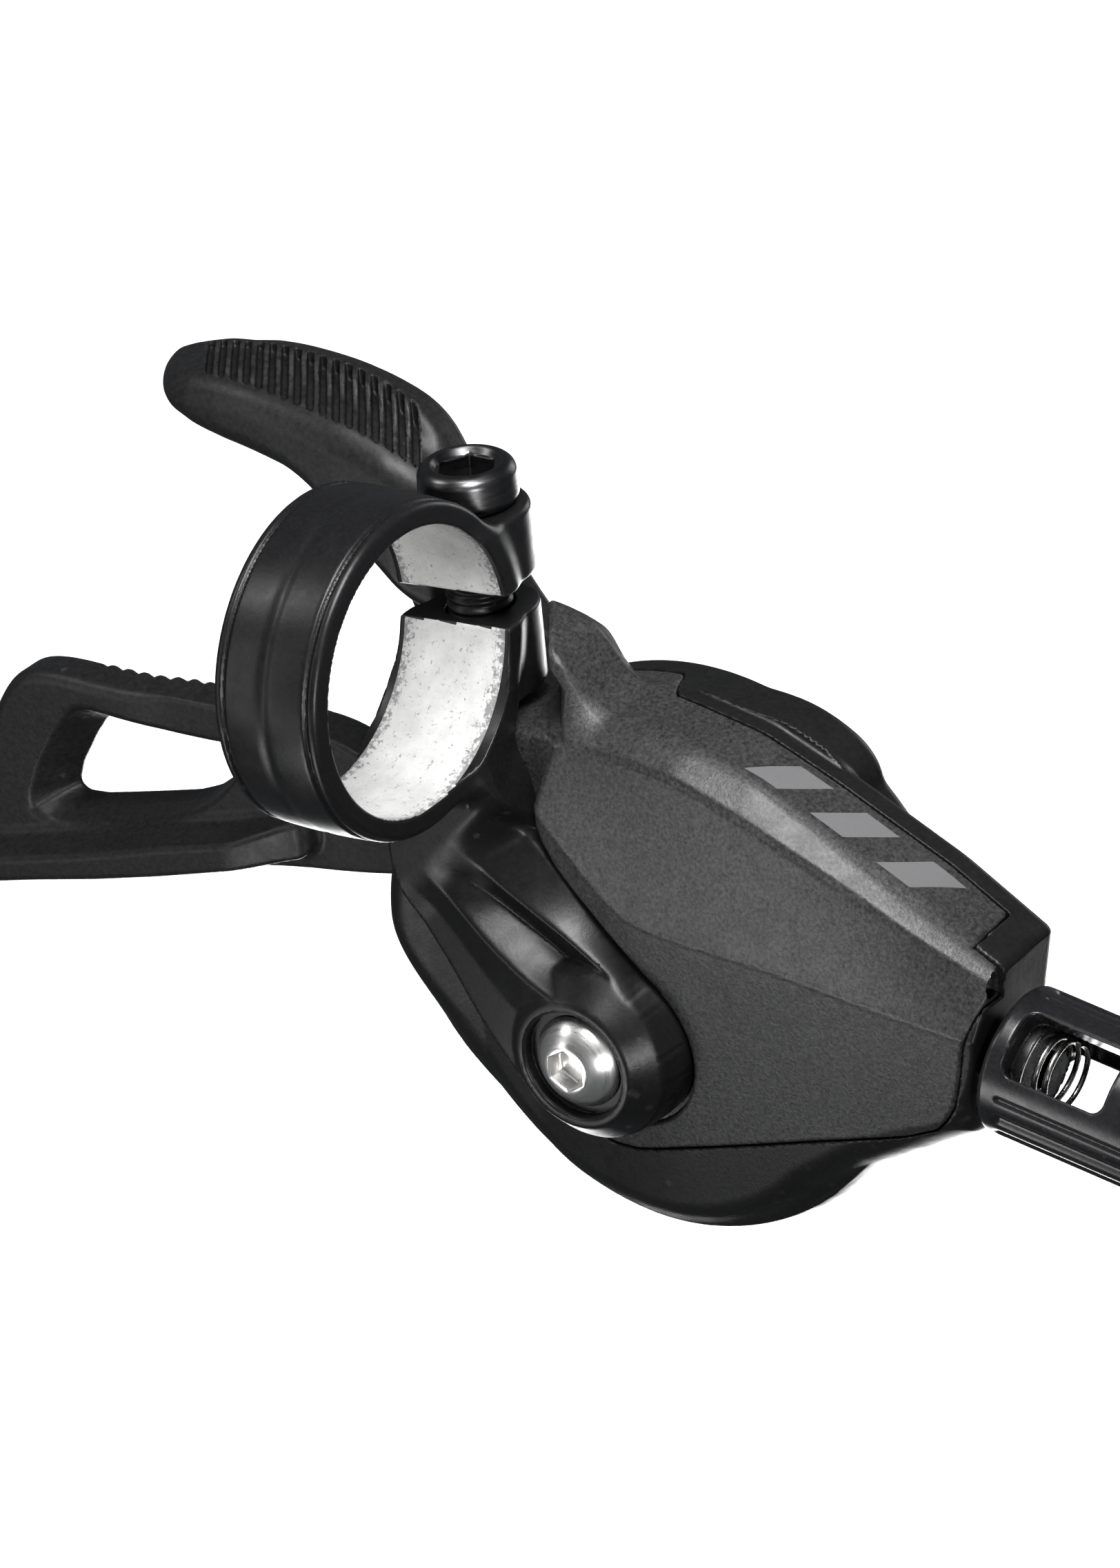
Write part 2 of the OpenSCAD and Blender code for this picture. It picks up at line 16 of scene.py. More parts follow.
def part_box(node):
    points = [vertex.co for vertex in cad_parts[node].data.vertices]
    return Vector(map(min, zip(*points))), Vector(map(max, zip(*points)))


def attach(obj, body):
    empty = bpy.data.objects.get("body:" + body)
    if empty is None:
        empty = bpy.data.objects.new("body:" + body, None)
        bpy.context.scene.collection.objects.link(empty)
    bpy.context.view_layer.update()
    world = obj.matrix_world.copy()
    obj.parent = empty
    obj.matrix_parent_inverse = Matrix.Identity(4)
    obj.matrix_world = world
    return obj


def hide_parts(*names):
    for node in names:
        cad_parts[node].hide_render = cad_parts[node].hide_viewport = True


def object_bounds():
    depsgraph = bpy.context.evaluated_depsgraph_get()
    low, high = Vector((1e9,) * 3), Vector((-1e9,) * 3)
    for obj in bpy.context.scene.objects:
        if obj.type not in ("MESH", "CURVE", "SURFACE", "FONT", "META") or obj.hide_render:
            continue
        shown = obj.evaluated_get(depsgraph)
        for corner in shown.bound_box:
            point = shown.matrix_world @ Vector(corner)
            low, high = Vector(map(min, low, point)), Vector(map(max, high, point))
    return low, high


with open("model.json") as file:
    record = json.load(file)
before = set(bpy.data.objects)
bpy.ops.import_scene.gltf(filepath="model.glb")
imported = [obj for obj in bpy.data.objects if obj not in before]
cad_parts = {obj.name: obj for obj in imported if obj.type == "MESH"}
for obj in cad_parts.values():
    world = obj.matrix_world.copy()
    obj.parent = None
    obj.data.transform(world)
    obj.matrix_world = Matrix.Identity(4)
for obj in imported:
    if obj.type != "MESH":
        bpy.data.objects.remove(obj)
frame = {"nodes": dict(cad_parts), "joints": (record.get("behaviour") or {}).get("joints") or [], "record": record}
CAD_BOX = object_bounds()
MM = 0.001
STEP = 0.25
FINE = 0.17
JOINTS = {j["name"]: j for j in frame["joints"]}


def corners(node):
    """A CAD node's lowest and highest corner in mm."""
    lo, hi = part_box(node)
    return np.array(lo) / MM, np.array(hi) / MM


# ---------------------------------------------------------------- distance fields
def fillet(a, b, r):
    """Union with a concave round of radius r."""
    ua, ub = np.maximum(r - a, 0), np.maximum(r - b, 0)
    return np.maximum(r, np.minimum(a, b)) - np.sqrt(ua * ua + ub * ub)


def ease(a, b, r):
    """Intersection with a convex edge of radius r."""
    ua, ub = np.maximum(r + a, 0), np.maximum(r + b, 0)
    return np.minimum(-r, np.maximum(a, b)) + np.sqrt(ua * ua + ub * ub)


def soft_min(a, b, k):
    h = np.clip(0.5 + 0.5 * (b - a) / k, 0, 1)
    return b * (1 - h) + a * h - k * h * (1 - h)


def soft_max(a, b, k):
    return -soft_min(-a, -b, k)


def span(t, lo, hi):
    """Distance outside the range lo to hi, negative within it."""
    return np.abs(t - (lo + hi) / 2) - (hi - lo) / 2


def ramp(t, a, b):
    """Goes smoothly from 0 at a to 1 at b."""
    s = np.clip((t - a) / (b - a), 0, 1)
    return s * s * (3 - 2 * s)


def rod(u, v, at, r):
    return np.hypot(u - at[0], v - at[1]) - r


def polygon(u, v, pts):
    """Signed distance to a closed outline, negative inside."""
    best = np.full(u.shape, 1e9)
    sign = np.ones(u.shape)
    for i, (ax, ay) in enumerate(pts):
        bx, by = pts[i - 1]
        ex, ey = bx - ax, by - ay
        wx, wy = u - ax, v - ay
        t = np.clip((wx * ex + wy * ey) / (ex * ex + ey * ey), 0, 1)
        best = np.minimum(best, (wx - ex * t) ** 2 + (wy - ey * t) ** 2)
        c1, c2, c3 = v >= ay, v < by, ex * wy > ey * wx
        flip = (c1 & c2 & c3) | (~c1 & ~c2 & ~c3)
        sign = np.where(flip, -sign, sign)
    return sign * np.sqrt(best)


def rounded(pts, passes=2):
    """Cuts an outline's corners, so that it reads as a curve."""
    for _ in range(passes):
        out = []
        for i, b in enumerate(pts):
            a = pts[i - 1]
            out.append((0.75 * a[0] + 0.25 * b[0], 0.75 * a[1] + 0.25 * b[1]))
            out.append((0.25 * a[0] + 0.75 * b[0], 0.25 * a[1] + 0.75 * b[1]))
        pts = out
    return pts


def curve(pts, soft=1.0):
    """A smooth function through a few stations."""
    pts = sorted(pts)
    xs, ys = np.array([p[0] for p in pts], float), np.array([p[1] for p in pts], float)
    pitch = 0.1
    u = np.arange(xs[0] - 12, xs[-1] + 12, pitch)
    low = (ys[1] - ys[0]) / (xs[1] - xs[0])
    high = (ys[-1] - ys[-2]) / (xs[-1] - xs[-2])
    w = np.interp(u, xs, ys)
    w = np.where(u < xs[0], ys[0] + low * (u - xs[0]), w)
    w = np.where(u > xs[-1], ys[-1] + high * (u - xs[-1]), w)
    w = blurred(w, soft / pitch)
    return lambda t: np.interp(t, u, w)


def blurred(w, sigma, axis=0):
    reach = int(3 * sigma) + 1
    k = np.exp(-0.5 * (np.arange(-reach, reach + 1) / sigma) ** 2)
    k /= k.sum()
    w = np.moveaxis(w, axis, 0)
    padded = np.concatenate([np.repeat(w[:1], reach, 0), w, np.repeat(w[-1:], reach, 0)])
    out = sum(k[i] * padded[i : i + len(w)] for i in range(len(k)))
    return np.moveaxis(out, 0, axis)


class Chart:
    """Values over a flat patch, worked out once and read back by interpolation."""

    def __init__(self, u, v, fn, soft=0.0, pitch=0.12):
        self.lo = (u[0], v[0])
        self.pitch = pitch
        us, vs = np.arange(u[0], u[1], pitch), np.arange(v[0], v[1], pitch)
        gu, gv = np.meshgrid(us, vs, indexing="ij")
        self.grid = fn(gu.ravel(), gv.ravel()).reshape(gu.shape)
        if soft:
            self.grid = blurred(blurred(self.grid, soft / pitch, 0), soft / pitch, 1)

    def __call__(self, u, v):
        a = np.clip((u - self.lo[0]) / self.pitch, 0, self.grid.shape[0] - 1.001)
        b = np.clip((v - self.lo[1]) / self.pitch, 0, self.grid.shape[1] - 1.001)
        i, j = a.astype(int), b.astype(int)
        a, b = a - i, b - j
        g = self.grid
        return (
            g[i, j] * (1 - a) * (1 - b)
            + g[i + 1, j] * a * (1 - b)
            + g[i, j + 1] * (1 - a) * b
            + g[i + 1, j + 1] * a * b
        )


# ---------------------------------------------------------------- meshing
def sampled(field, lo, hi, step):
    """The field on a grid of points. Only blocks that the surface may cross are worked out."""
    block = 4
    coarse = block * step
    n = [max(2, int(math.ceil((h - l) / coarse))) for l, h in zip(lo, hi)]
    mids = [l + coarse * (np.arange(k) + 0.5) for l, k in zip(lo, n)]
    grid = np.meshgrid(*mids, indexing="ij")
    rough = field(*[g.ravel() for g in grid]).reshape(grid[0].shape)
    near = np.abs(rough) < 1.35 * coarse
    big = rough.repeat(block, 0).repeat(block, 1).repeat(block, 2)
    mask = near.repeat(block, 0).repeat(block, 1).repeat(block, 2)
    i, j, k = np.nonzero(mask)
    start = [l + 0.5 * step for l in lo]
    exact = field(start[0] + step * i, start[1] + step * j, start[2] + step * k)
    big[mask] = exact
    return big, start


def netted(values):
    """Vertices in grid units and outward quads of the zero surface."""
    inside = values < 0
    nx, ny, nz = values.shape
    count = np.zeros((nx - 1, ny - 1, nz - 1), np.uint8)
    for a in (0, 1):
        for b in (0, 1):
            for c in (0, 1):
                count += inside[a : nx - 1 + a, b : ny - 1 + b, c : nz - 1 + c]
    mixed = (count > 0) & (count < 8)
    cells = np.argwhere(mixed)
    index = np.full(mixed.shape, -1, np.int64)
    index[mixed] = np.arange(len(cells))
    total, hits = np.zeros((len(cells), 3)), np.zeros(len(cells))
    for axis in range(3):
        others = [i for i in range(3) if i != axis]
        for p in (0, 1):
            for q in (0, 1):
                off = np.zeros(3, int)
                off[others[0]], off[others[1]] = p, q
                a = cells + off
                b = a.copy()
                b[:, axis] += 1
                fa, fb = values[tuple(a.T)], values[tuple(b.T)]
                cross = (fa < 0) != (fb < 0)
                t = np.where(cross, fa / np.where(cross, fa - fb, 1), 0)
                at = a.astype(float)
                at[:, axis] += t
                total[cross] += at[cross]
                hits += cross
    verts = total / hits[:, None]
    quads = []
    for axis in range(3):
        u, v = (axis + 1) % 3, (axis + 2) % 3
        low = [slice(None)] * 3
        low[axis], low[u], low[v] = slice(0, -1), slice(1, -1), slice(1, -1)
        high = list(low)
        high[axis] = slice(1, None)
        here, there = inside[tuple(low)], inside[tuple(high)]
        g = np.argwhere(here != there)
        g[:, u] += 1
        g[:, v] += 1
        eu, ev = np.eye(3, dtype=int)[u], np.eye(3, dtype=int)[v]
        ring = [g - eu - ev, g - ev, g, g - eu]
        face = np.stack([index[tuple(c.T)] for c in ring], 1)
        solid = inside[tuple(g.T)]
        quads.append(np.where(solid[:, None], face, face[:, ::-1]))
    return verts, np.concatenate(quads)


def slope_of(field, p, e=0.03):
    g = np.zeros_like(p)
    for sx, sy, sz in ((1, -1, -1), (-1, -1, 1), (-1, 1, -1), (1, 1, 1)):
        f = field(p[:, 0] + e * sx, p[:, 1] + e * sy, p[:, 2] + e * sz)
        g += f[:, None] * np.array([sx, sy, sz])
    return g / (4 * e)


def sculpt(name, field, box, step, body, node, slot):
    """Meshes a field inside a box (mm), and hands the piece to its CAD body."""
    values, start = sampled(field, box[0], box[1], step)
    verts, quads = netted(values)
    p = np.array(start) + step * verts
    for _ in range(2):
        g = slope_of(field, p)
        size = np.maximum((g * g).sum(1), 0.2)
        move = g * (field(p[:, 0], p[:, 1], p[:, 2]) / size)[:, None]
        length = np.linalg.norm(move, axis=1, keepdims=True)
        p = p - move * np.minimum(1, 0.35 * step / np.maximum(length, 1e-9))
    g = slope_of(field, p, 0.06)
    normals = g / np.maximum(np.linalg.norm(g, axis=1, keepdims=True), 1e-9)
    used = np.unique(quads)
    back = np.full(len(p), -1)
    back[used] = np.arange(len(used))
    mesh = bpy.data.meshes.new(name)
    mesh.from_pydata((p[used] * MM).tolist(), [], back[quads].tolist())
    mesh.validate()
    mesh.polygons.foreach_set("use_smooth", np.ones(len(mesh.polygons), bool))
    if len(mesh.vertices) == len(used):
        mesh.normals_split_custom_set_from_vertices(normals[used].tolist())
    return placed(name, mesh, body, node, slot)


def placed(name, mesh, body, node, slot):
    """Puts a mesh on its body in place of a CAD node, with its slot's material."""
    mesh.materials.append(M[slot])
    piece = bpy.data.objects.new(name, mesh)
    bpy.context.scene.collection.objects.link(piece)
    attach(piece, body)
    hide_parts(node)
    return piece


def room(node, extra=(1.5, 1.5, 1.5)):
    lo, hi = corners(node)
    return lo - np.array(extra), hi + np.array(extra)


# ---------------------------------------------------------------- places read from the CAD
AXLE = np.array(JOINTS["lever_push"]["pos_m"][1:]) / MM
PIVOT = np.array(JOINTS["release_push"]["pos_m"][1:]) / MM
CABLE = np.array(JOINTS["adjuster_turn"]["pos_m"]) / MM
ALONG = np.array(JOINTS["adjuster_turn"]["axis"])
CLAMP = next(m for m in frame["record"]["mounts"] if m["kind"] == "clamp")
BAR_R = CLAMP["dims"]["r_mm"]
BAND = corners("clamp_band")
BOLT = corners("clamp_bolt")
COVER = corners("front_cover")
CASE = corners("main_case")
LEVER = corners("main_lever")
WALL = 1.4  # of the moulded cover and case


def cable_frame(x, y, z):
    """Local coordinates at the cable's exit: across, up, and outward along the cable."""
    dy, dz = y - CABLE[1], z - CABLE[2]
    return x - CABLE[0], dy * ALONG[2] - dz * ALONG[1], dy * ALONG[1] + dz * ALONG[2]


# ---------------------------------------------------------------- clamp band
HALF_W = CLAMP["dims"]["length_mm"] / 2
BAND_R = BAR_R + 1.9
EAR_TOP = 6.9
EAR_R = 4.5
PINCH_X = (BOLT[0][0] + BOLT[1][0]) / 2
LUG_LOW = -8.0
GAP = (-1.55, 0.95)
GAP_LEAN = 0.07
ARM_BACK = 10.2
BOSS_RIM_X = 4.1
BOSS_OUT_R = 7.2
RIM_R = 5.15
WELL_R = 4.4
WELL_X = 5.2
ARM_AXIS = np.array([-0.673, -0.74])
ARM_FROM = np.array([0.0, -20.0])
ARM_END = 17.9  # the last station along the arm
ARM_OPEN_X = 9.6  # depth where no sculpted line runs
ARM_ROOT_X = 5.6  # flat front where the arm leaves the band
SHANK_R, HEAD_SEAT_R = 2.65, 4.15  # room for the clamp bolt
SCREW_HOLE_R = 2.15

# Lines along the arm: distance to the right of the arm's axis, and depth X, at stations t
flange_s = curve([(-4, -2.4), (3.3, -3.1), (6.4, -4.1), (9.8, -5.3), (13.6, -6.4), (17.9, -7.1)])
flange_x = curve([(-4, 6.4), (3.3, 6.5), (10, 6.4), (17.9, 6.5)])
valley_s = curve([(-4, -0.2), (4.7, -1.2), (10.6, -2.9), (13, -3.7), (17.9, -5.4)])
valley_x = curve([(-4, 6.0), (1, 6.3), (4.7, 7.7), (10.6, 7.9), (14, 7.4), (17.9, 6.4)])
ridge_s = curve([(-4, 1.6), (2.8, 0.9), (7, 0.2), (11, -1.3), (13, -2.4), (17.9, -5.0)])
ridge_x = curve([(-4, 5.7), (2.8, 5.7), (7, 5.2), (11, 4.5), (14, 4.15), (17.9, 4.1)])
left_s = curve([(-4, 5.4), (3.5, 5.6), (6, 5.7), (10.9, 5.8), (14.5, 5.4), (17.9, 5.3)])
left_x = curve([(-4, 6.2), (3.5, 6.4), (6, 6.1), (10.9, 5.1), (14, 4.4), (17.9, 4.1)])


def arm_front(y, z):
    """Depth of the arm's sculpted face: flange, valley, twisted rib and the boss."""
    dy, dz = y - ARM_FROM[0], z - ARM_FROM[1]
    t = dy * ARM_AXIS[0] + dz * ARM_AXIS[1]
    s = -dy * ARM_AXIS[1] + dz * ARM_AXIS[0]
    stations = [
        (np.full(t.shape, -6.9), np.full(t.shape, 8.9)),
        (flange_s(t), flange_x(t)),
        (valley_s(t), valley_x(t)),
        (ridge_s(t), ridge_x(t)),
        ((ridge_s(t) + left_s(t)) / 2, (ridge_x(t) + left_x(t)) / 2 + 0.35),
        (left_s(t), left_x(t)),
        (left_s(t) + 1.2, left_x(t) + 2.6),
    ]
    depth = np.full(t.shape, ARM_OPEN_X)
    for (s0, x0), (s1, x1) in zip(stations, stations[1:]):
        k = (s - s0) / np.maximum(s1 - s0, 1e-3)
        depth = np.where((k >= 0) & (k <= 1), x0 + (x1 - x0) * k, depth)
    boss = np.hypot(y - AXLE[0], z - AXLE[1])
    depth = np.where(t > ARM_END, ARM_OPEN_X, depth)
    cone = BOSS_RIM_X + np.clip((boss - RIM_R) * 1.12, 0, 4)
    cone = np.where(boss > BOSS_OUT_R, ARM_OPEN_X, cone)
    depth = np.minimum(depth, cone)
    blend = ramp(t, -1.5, 2.5)
    return ARM_ROOT_X * (1 - blend) + depth * blend


ARM_OUTLINE = rounded(
    [(-4.7, -4), (-4.9, -9.5), (-6.4, -12.5), (-6.9, -15.5), (-8.5, -18.7), (-14.2, -25.2),
     (-18.3, -29.5), tuple(AXLE), (-5.6, -36.4), (-2.6, -32.6), (1.9, -26.6), (4.3, -22.2),
     (4.7, -18), (4.7, -4)], 2)
PATCH_Y, PATCH_Z = (-22, 8), (-43, 0)
arm_depth = Chart(PATCH_Y, PATCH_Z, arm_front, 0.14)
arm_edge = Chart(
    PATCH_Y, PATCH_Z,
    lambda y, z: np.minimum(polygon(y, z, ARM_OUTLINE), rod(y, z, AXLE, BOSS_OUT_R + 0.05)), 0.15)


def band_field(x, y, z):
    r = np.hypot(x, z)
    v = np.abs(y)
    crown = BAND_R + 0.03 - 0.2 * (v / HALF_W) ** 2 - 0.09 * np.exp(-((y / 0.45) ** 2))
    groove = 0.3 * np.exp(-(((v - (HALF_W - 0.95)) / 0.17) ** 2))
    ring = ease(r - crown + groove, v - HALF_W, 0.5)
    plan = np.hypot(x - np.clip(x, 4.5, PINCH_X), y) - EAR_R - 0.05
    ears = ease(plan, span(z, LUG_LOW, EAR_TOP), 0.55)
    body = fillet(ring, ears, 1.6)
    edge = arm_edge(y, z)
    front = (arm_depth(y, z) - x) * 0.72
    arm = ease(ease(edge, x - ARM_BACK, 0.3), front, 0.35)
    arm = np.maximum(arm, z + 5)
    body = fillet(body, arm, 2.4 * ramp(z, -22, -14) + 0.05)
    body = ease(body, BAR_R - r, 0.18)
    slot = np.maximum(span(z + GAP_LEAN * y, *GAP), 6.0 - x)
    body = ease(body, -slot, 0.3)
    shank = rod(x, y, (PINCH_X, 0), SHANK_R)
    body = np.maximum(body, -shank)
    seat = np.maximum(rod(x, y, (PINCH_X, 0), HEAD_SEAT_R), EAR_TOP - z)
    body = np.maximum(body, -seat)
    boss = np.hypot(y - AXLE[0], z - AXLE[1])
    well = np.maximum(boss - WELL_R, x - WELL_X)
    body = ease(body, -well, 0.22)
    return np.maximum(body, -(boss - SCREW_HOLE_R))


# ---------------------------------------------------------------- housing
RIM_MID = (-13.4, -28.9)
DISC_MID = (-15.1, -28.5)
CASE_R = 21.8
SEAM_X = 16.0
TAPER_X = 18.4
BACK_X = CASE[1][0]
STRIP_END, STRIP_X = 3.0, 11.35  # where the top strip stops short of the nose's end
RIDGE_X = 11.1  # depth of the ridge between the bevelled band and the top strip
FACE_X = 7.95  # the face's lower edge, where the plain panel starts
OPEN_TOP, NOSE_LOW = 4, 5.7
SCREWS = [(-34.6, -24.2), (-32.4, -37.0), (-6.0, -12.5)]
SCREW_WELL_R, SCREW_WELL_DEPTH = 2.25, 1.5
PLUG_AT, PLUG_WELL_R = (-24.5, -40.0), 2.52
HUB_WELL_R = 6.7
INSERT_R, STEM_ROOM_R = 3.15, 2.8
UNDERSIDE = [(-33.6, -40.9), (-24.9, -47.0), RIM_MID]
# Lines along the cover, as heights at stations y
ridge = curve([(4, -14), (0, -4.6), (-5, -1.2), (-7.2, -1.7), (-9.5, -3.1), (-11.2, -5.6), (-12.8, -7.0),
               (-17, -7.5), (-20.6, -8.0), (-26.5, -9.9), (-33.3, -13.4), (-42.6, -18.4),
               (-47.9, -21.3)], 0.5)
crest = curve([(4, -13), (0, -3.2), (-5, -0.7), (-7.2, -1.1), (-9.2, -1.9), (-10.6, -3.2), (-11.8, -4.9),
               (-13.4, -6.1), (-18, -6.9), (-24, -8.2), (-30.3, -11.0), (-40, -15.9), (-46.4, -20.0)], 0.5)
crease = curve([(-5, -8.3), (-10.4, -8.7), (-15.9, -8.9), (-20.2, -9.5), (-27, -12.1), (-36.2, -16.3),
                (-43.2, -19.7), (-47, -21.6)], 0.8)
bevel = curve([(-8, -14.5), (-12.3, -19.3), (-13.8, -20.8), (-15.6, -22.1), (-17.9, -22.6), (-21, -22.95),
               (-27.2, -23.4), (-33.4, -24.2), (-39.5, -25.0), (-44.5, -25.5), (-50, -26.0)], 0.5)
crease_x = curve([(0, 8.75), (-30, 8.75), (-40, 9.2), (-47, 9.9)], 1.5)
PANEL = rounded(
    [(-3, 4), (-54, 4), (-47.6, -20.9), (-45.3, -25.3), (-44.3, -29.6), (-43.3, -32.6), (-40.8, -35.2),
     (-32.3, -37.6), (-24.5, -40.0), (-16.9, -42.2), (-11.6, -43.7), (-7.2, -42.9), (-3.5, -38), (0, -30),
     (3, -22), (4, -10)], 1)
YS, ZS = (-54, 12), (-55, 6)


def face_depth(y, z):
    """Depth of the cover's face: bevelled band, speckled face and the plain lower panel."""
    r, c, b = ridge(y), crease(y), bevel(y)
    c = np.minimum(c, r - 0.5)
    b = np.minimum(b, c - 0.8)
    cx = crease_x(y)
    band = cx + (RIDGE_X - cx) * (z - c) / (r - c)
    main = FACE_X + (cx - FACE_X) * (z - b) / (c - b)
    low = FACE_X + 0.1 * (b - z)
    depth = soft_max(soft_max(np.minimum(band, 14), main, 0.12), low, 0.16)
    depth = depth + 0.24 * np.exp(-(((z - c + 0.1) / 0.15) ** 2)) * ramp(y, -42, -33)
    depth = depth - 0.07 * np.exp(-(((z - b) / 0.22) ** 2))
    return depth


def housing_outline(y, z):
    nose_up = np.array([ALONG[2], -ALONG[1]])
    end = CABLE[1:]
    top, low = end + 7.6 * nose_up, end - NOSE_LOW * nose_up
    body = polygon(y, z, [(-17.1, -7.7), (-25, -8.75), tuple(top), tuple(low), *UNDERSIDE])
    return np.minimum(body, rod(y, z, RIM_MID, CASE_R))


def open_outline(y, z):
    """The housing's outline left open at the top, where the cover's own lines close it."""
    nose_up = np.array([ALONG[2], -ALONG[1]])
    high, low = CABLE[1:] + 30 * nose_up, CABLE[1:] - NOSE_LOW * nose_up
    left = RIM_MID[0] + CASE_R
    body = polygon(y, z, [(left, OPEN_TOP), tuple(high), tuple(low), *UNDERSIDE, (left, RIM_MID[1])])
    return np.minimum(body, rod(y, z, RIM_MID, CASE_R))


BACK_CORNER = rounded(
    [(-12, -7.2), (-22.2, -7.4), (-26.4, -8.4), (-30.3, -10.9), (-31.2, -15), (-31, -24), (-15, -28)], 2)
POCKET = rounded(
    [(-4.9, 2), (-9.6, -4), (-9.3, -8.9), (-8.1, -12.3), (-7.3, -15), (-7.8, -18), (-11.4, -21.8),
     (-14.4, -25), (-18.6, -29.0), tuple(AXLE), (-5, -37), (-2.2, -33), (2.4, -26.8), (5, -22),
     (5.2, 2)], 1)
pocket_of = Chart(
    YS, ZS,
    lambda y, z: np.minimum(polygon(y, z, POCKET), rod(y, z, AXLE, BOSS_OUT_R + 0.4)), 0.12)
disc_of = Chart(
    YS, ZS,
    lambda y, z: np.minimum(rod(y, z, DISC_MID, CASE_R), polygon(y, z, BACK_CORNER)), 0.3)
depth_of = Chart(YS, ZS, face_depth, 0.1)
outline_of = Chart(YS, ZS, housing_outline, 0.3)
open_of = Chart(YS, ZS, open_outline, 0.3)
panel_of = Chart(YS, ZS, lambda y, z: polygon(y, z, PANEL), 0.2)
NOSE_OUT = -0.05
EAR_FLOOR = -9.2


def shell(x, y, z):
    """The whole housing as one solid, before it is split into cover and case."""
    edge = outline_of(y, z)
    disc = disc_of(y, z)
    share = np.clip((x - RIDGE_X) / (SEAM_X - RIDGE_X), 0, 1)
    fall = (1.5 + 1.1 * ramp(y, -8.8, -10.5)) * ramp(x, 15.6, 18.4) * ramp(y, -15, -12)
    line = ridge(y) * (1 - share) + crest(y) * share - fall
    over = (z - line) * 0.86
    upper = ramp(x, 20.8, 18.0) * ramp(y, 4, -3)
    side = edge * (1 - upper) + ease(open_of(y, z), over, 0.35) * upper
    _, _, out = cable_frame(x, y, z)
    side = ease(side, out - NOSE_OUT, 0.9)
    taper = ease(side, x - TAPER_X, 0.9)
    back = ease(disc, x - BACK_X, 1.3)
    # The round back starts further forward low down, so that it clears the top strip
    back = np.maximum(back, 17.6 - 6.1 * ramp(z, -20, -30) - x)
    body = fillet(taper, back, 0.4)
    front = (depth_of(y, z) - x) * 0.8
    soft = 0.42 + 2.9 * ramp(z, -27, -37) + 2.0 * ramp(y, -6, 3) * ramp(z, -12, -20)
    return ease(body, front, soft)


def ear_space(x, y, z):
    """Room left beside the clamp's lug, which the cover is cut back from."""
    lug = np.maximum(np.abs(y) - HALF_W - 0.25, x - 22)
    notch = 20 * ramp(z, -3.5, -5.5) * ramp(z, -9.1, -8.5)
    corner = (11.1 * x - 16 * y - 1.8 * z - 262 - notch) / 19.6
    return np.maximum(np.minimum(lug, np.maximum(corner, x - 16.5)), EAR_FLOOR - z)


def pocketed(x, y, z, body):
    """The housing's solid with the clamp's lug and arm let into it."""
    part = ease(body, -ear_space(x, y, z), 0.5)
    edge_r = 0.15 + 0.2 * ramp(y, 2, -4) + 0.5 * ramp(z, -21, -17)
    return ease(part, -arm_clearance(x, y, z), edge_r)


def walls(x, y, z):
    body = shell(x, y, z)
    part = pocketed(x, y, z, body)
    return part, np.maximum(part, -np.maximum(body + WALL, part + 0.85))


def split(x, y, z):
    """Negative on the cover's side of the joint between cover and case."""
    _, _, out = cable_frame(x, y, z)
    hump = 3.4 * ramp(y, -16.5, -14.5) * ramp(z, -12, -10)
    edge = ease(panel_of(y, z), x - SEAM_X - hump, 0.15)
    beyond_strip = np.maximum(-(out + STRIP_END), STRIP_X - x)
    return np.maximum(np.maximum(edge, out + 0.35), -beyond_strip)


def arm_clearance(x, y, z):
    return np.maximum(np.maximum(pocket_of(y, z), x - ARM_BACK - 0.15), z + 4)


def release_space(x, y, z):
    slot = np.maximum(np.maximum(span(x, 12.2, 17.0), span(y, -0.8, 14)), span(z, -31, -9))
    well = np.maximum(rod(y, z, PIVOT, 3.8), span(x, 12.2, 17.0))
    return np.minimum(slot, well)


def cover_field(x, y, z):
    _, wall = walls(x, y, z)
    part = ease(wall, split(x, y, z) + 0.06, 0.2)
    part = np.maximum(part, -(rod(y, z, AXLE, BOSS_OUT_R - 0.6)))
    return np.maximum(part, -release_space(x, y, z))


def case_field(x, y, z):
    body, wall = walls(x, y, z)
    _, up, out = cable_frame(x, y, z)
    across = x - CABLE[0]
    block = np.maximum(np.maximum(body + 0.3, -9.0 - out), 10.0 - x)
    wall = np.minimum(wall, block)
    joint = 0.06 - split(x, y, z)
    set_back = (depth_of(y, z) + 1.0 - x) * 0.8
    nose = np.maximum(np.minimum(np.maximum(body, joint), body + WALL + 0.05), -(out + 6.0))
    part = np.maximum(wall, joint)
    part = np.minimum(part, ease(nose, set_back, 0.4))
    part = np.maximum(part, -np.maximum(rod(y, z, AXLE, HUB_WELL_R), 12 - x))
    part = np.maximum(part, -np.maximum(rod(y, z, AXLE, BOSS_OUT_R - 0.6), x - 12))
    part = np.maximum(part, -release_space(x, y, z))
    for s in SCREWS:
        pocket = np.maximum(rod(y, z, s, SCREW_WELL_R), TAPER_X - SCREW_WELL_DEPTH - x)
        part = ease(part, -pocket, 0.12)
    part = np.maximum(part, -np.maximum(rod(y, z, PLUG_AT, PLUG_WELL_R), 18 - x))
    stem = np.hypot(across, up)
    part = np.maximum(part, -np.maximum(stem - INSERT_R, span(out, -8.5, -1.8)))
    return np.maximum(part, -(stem - STEM_ROOM_R))


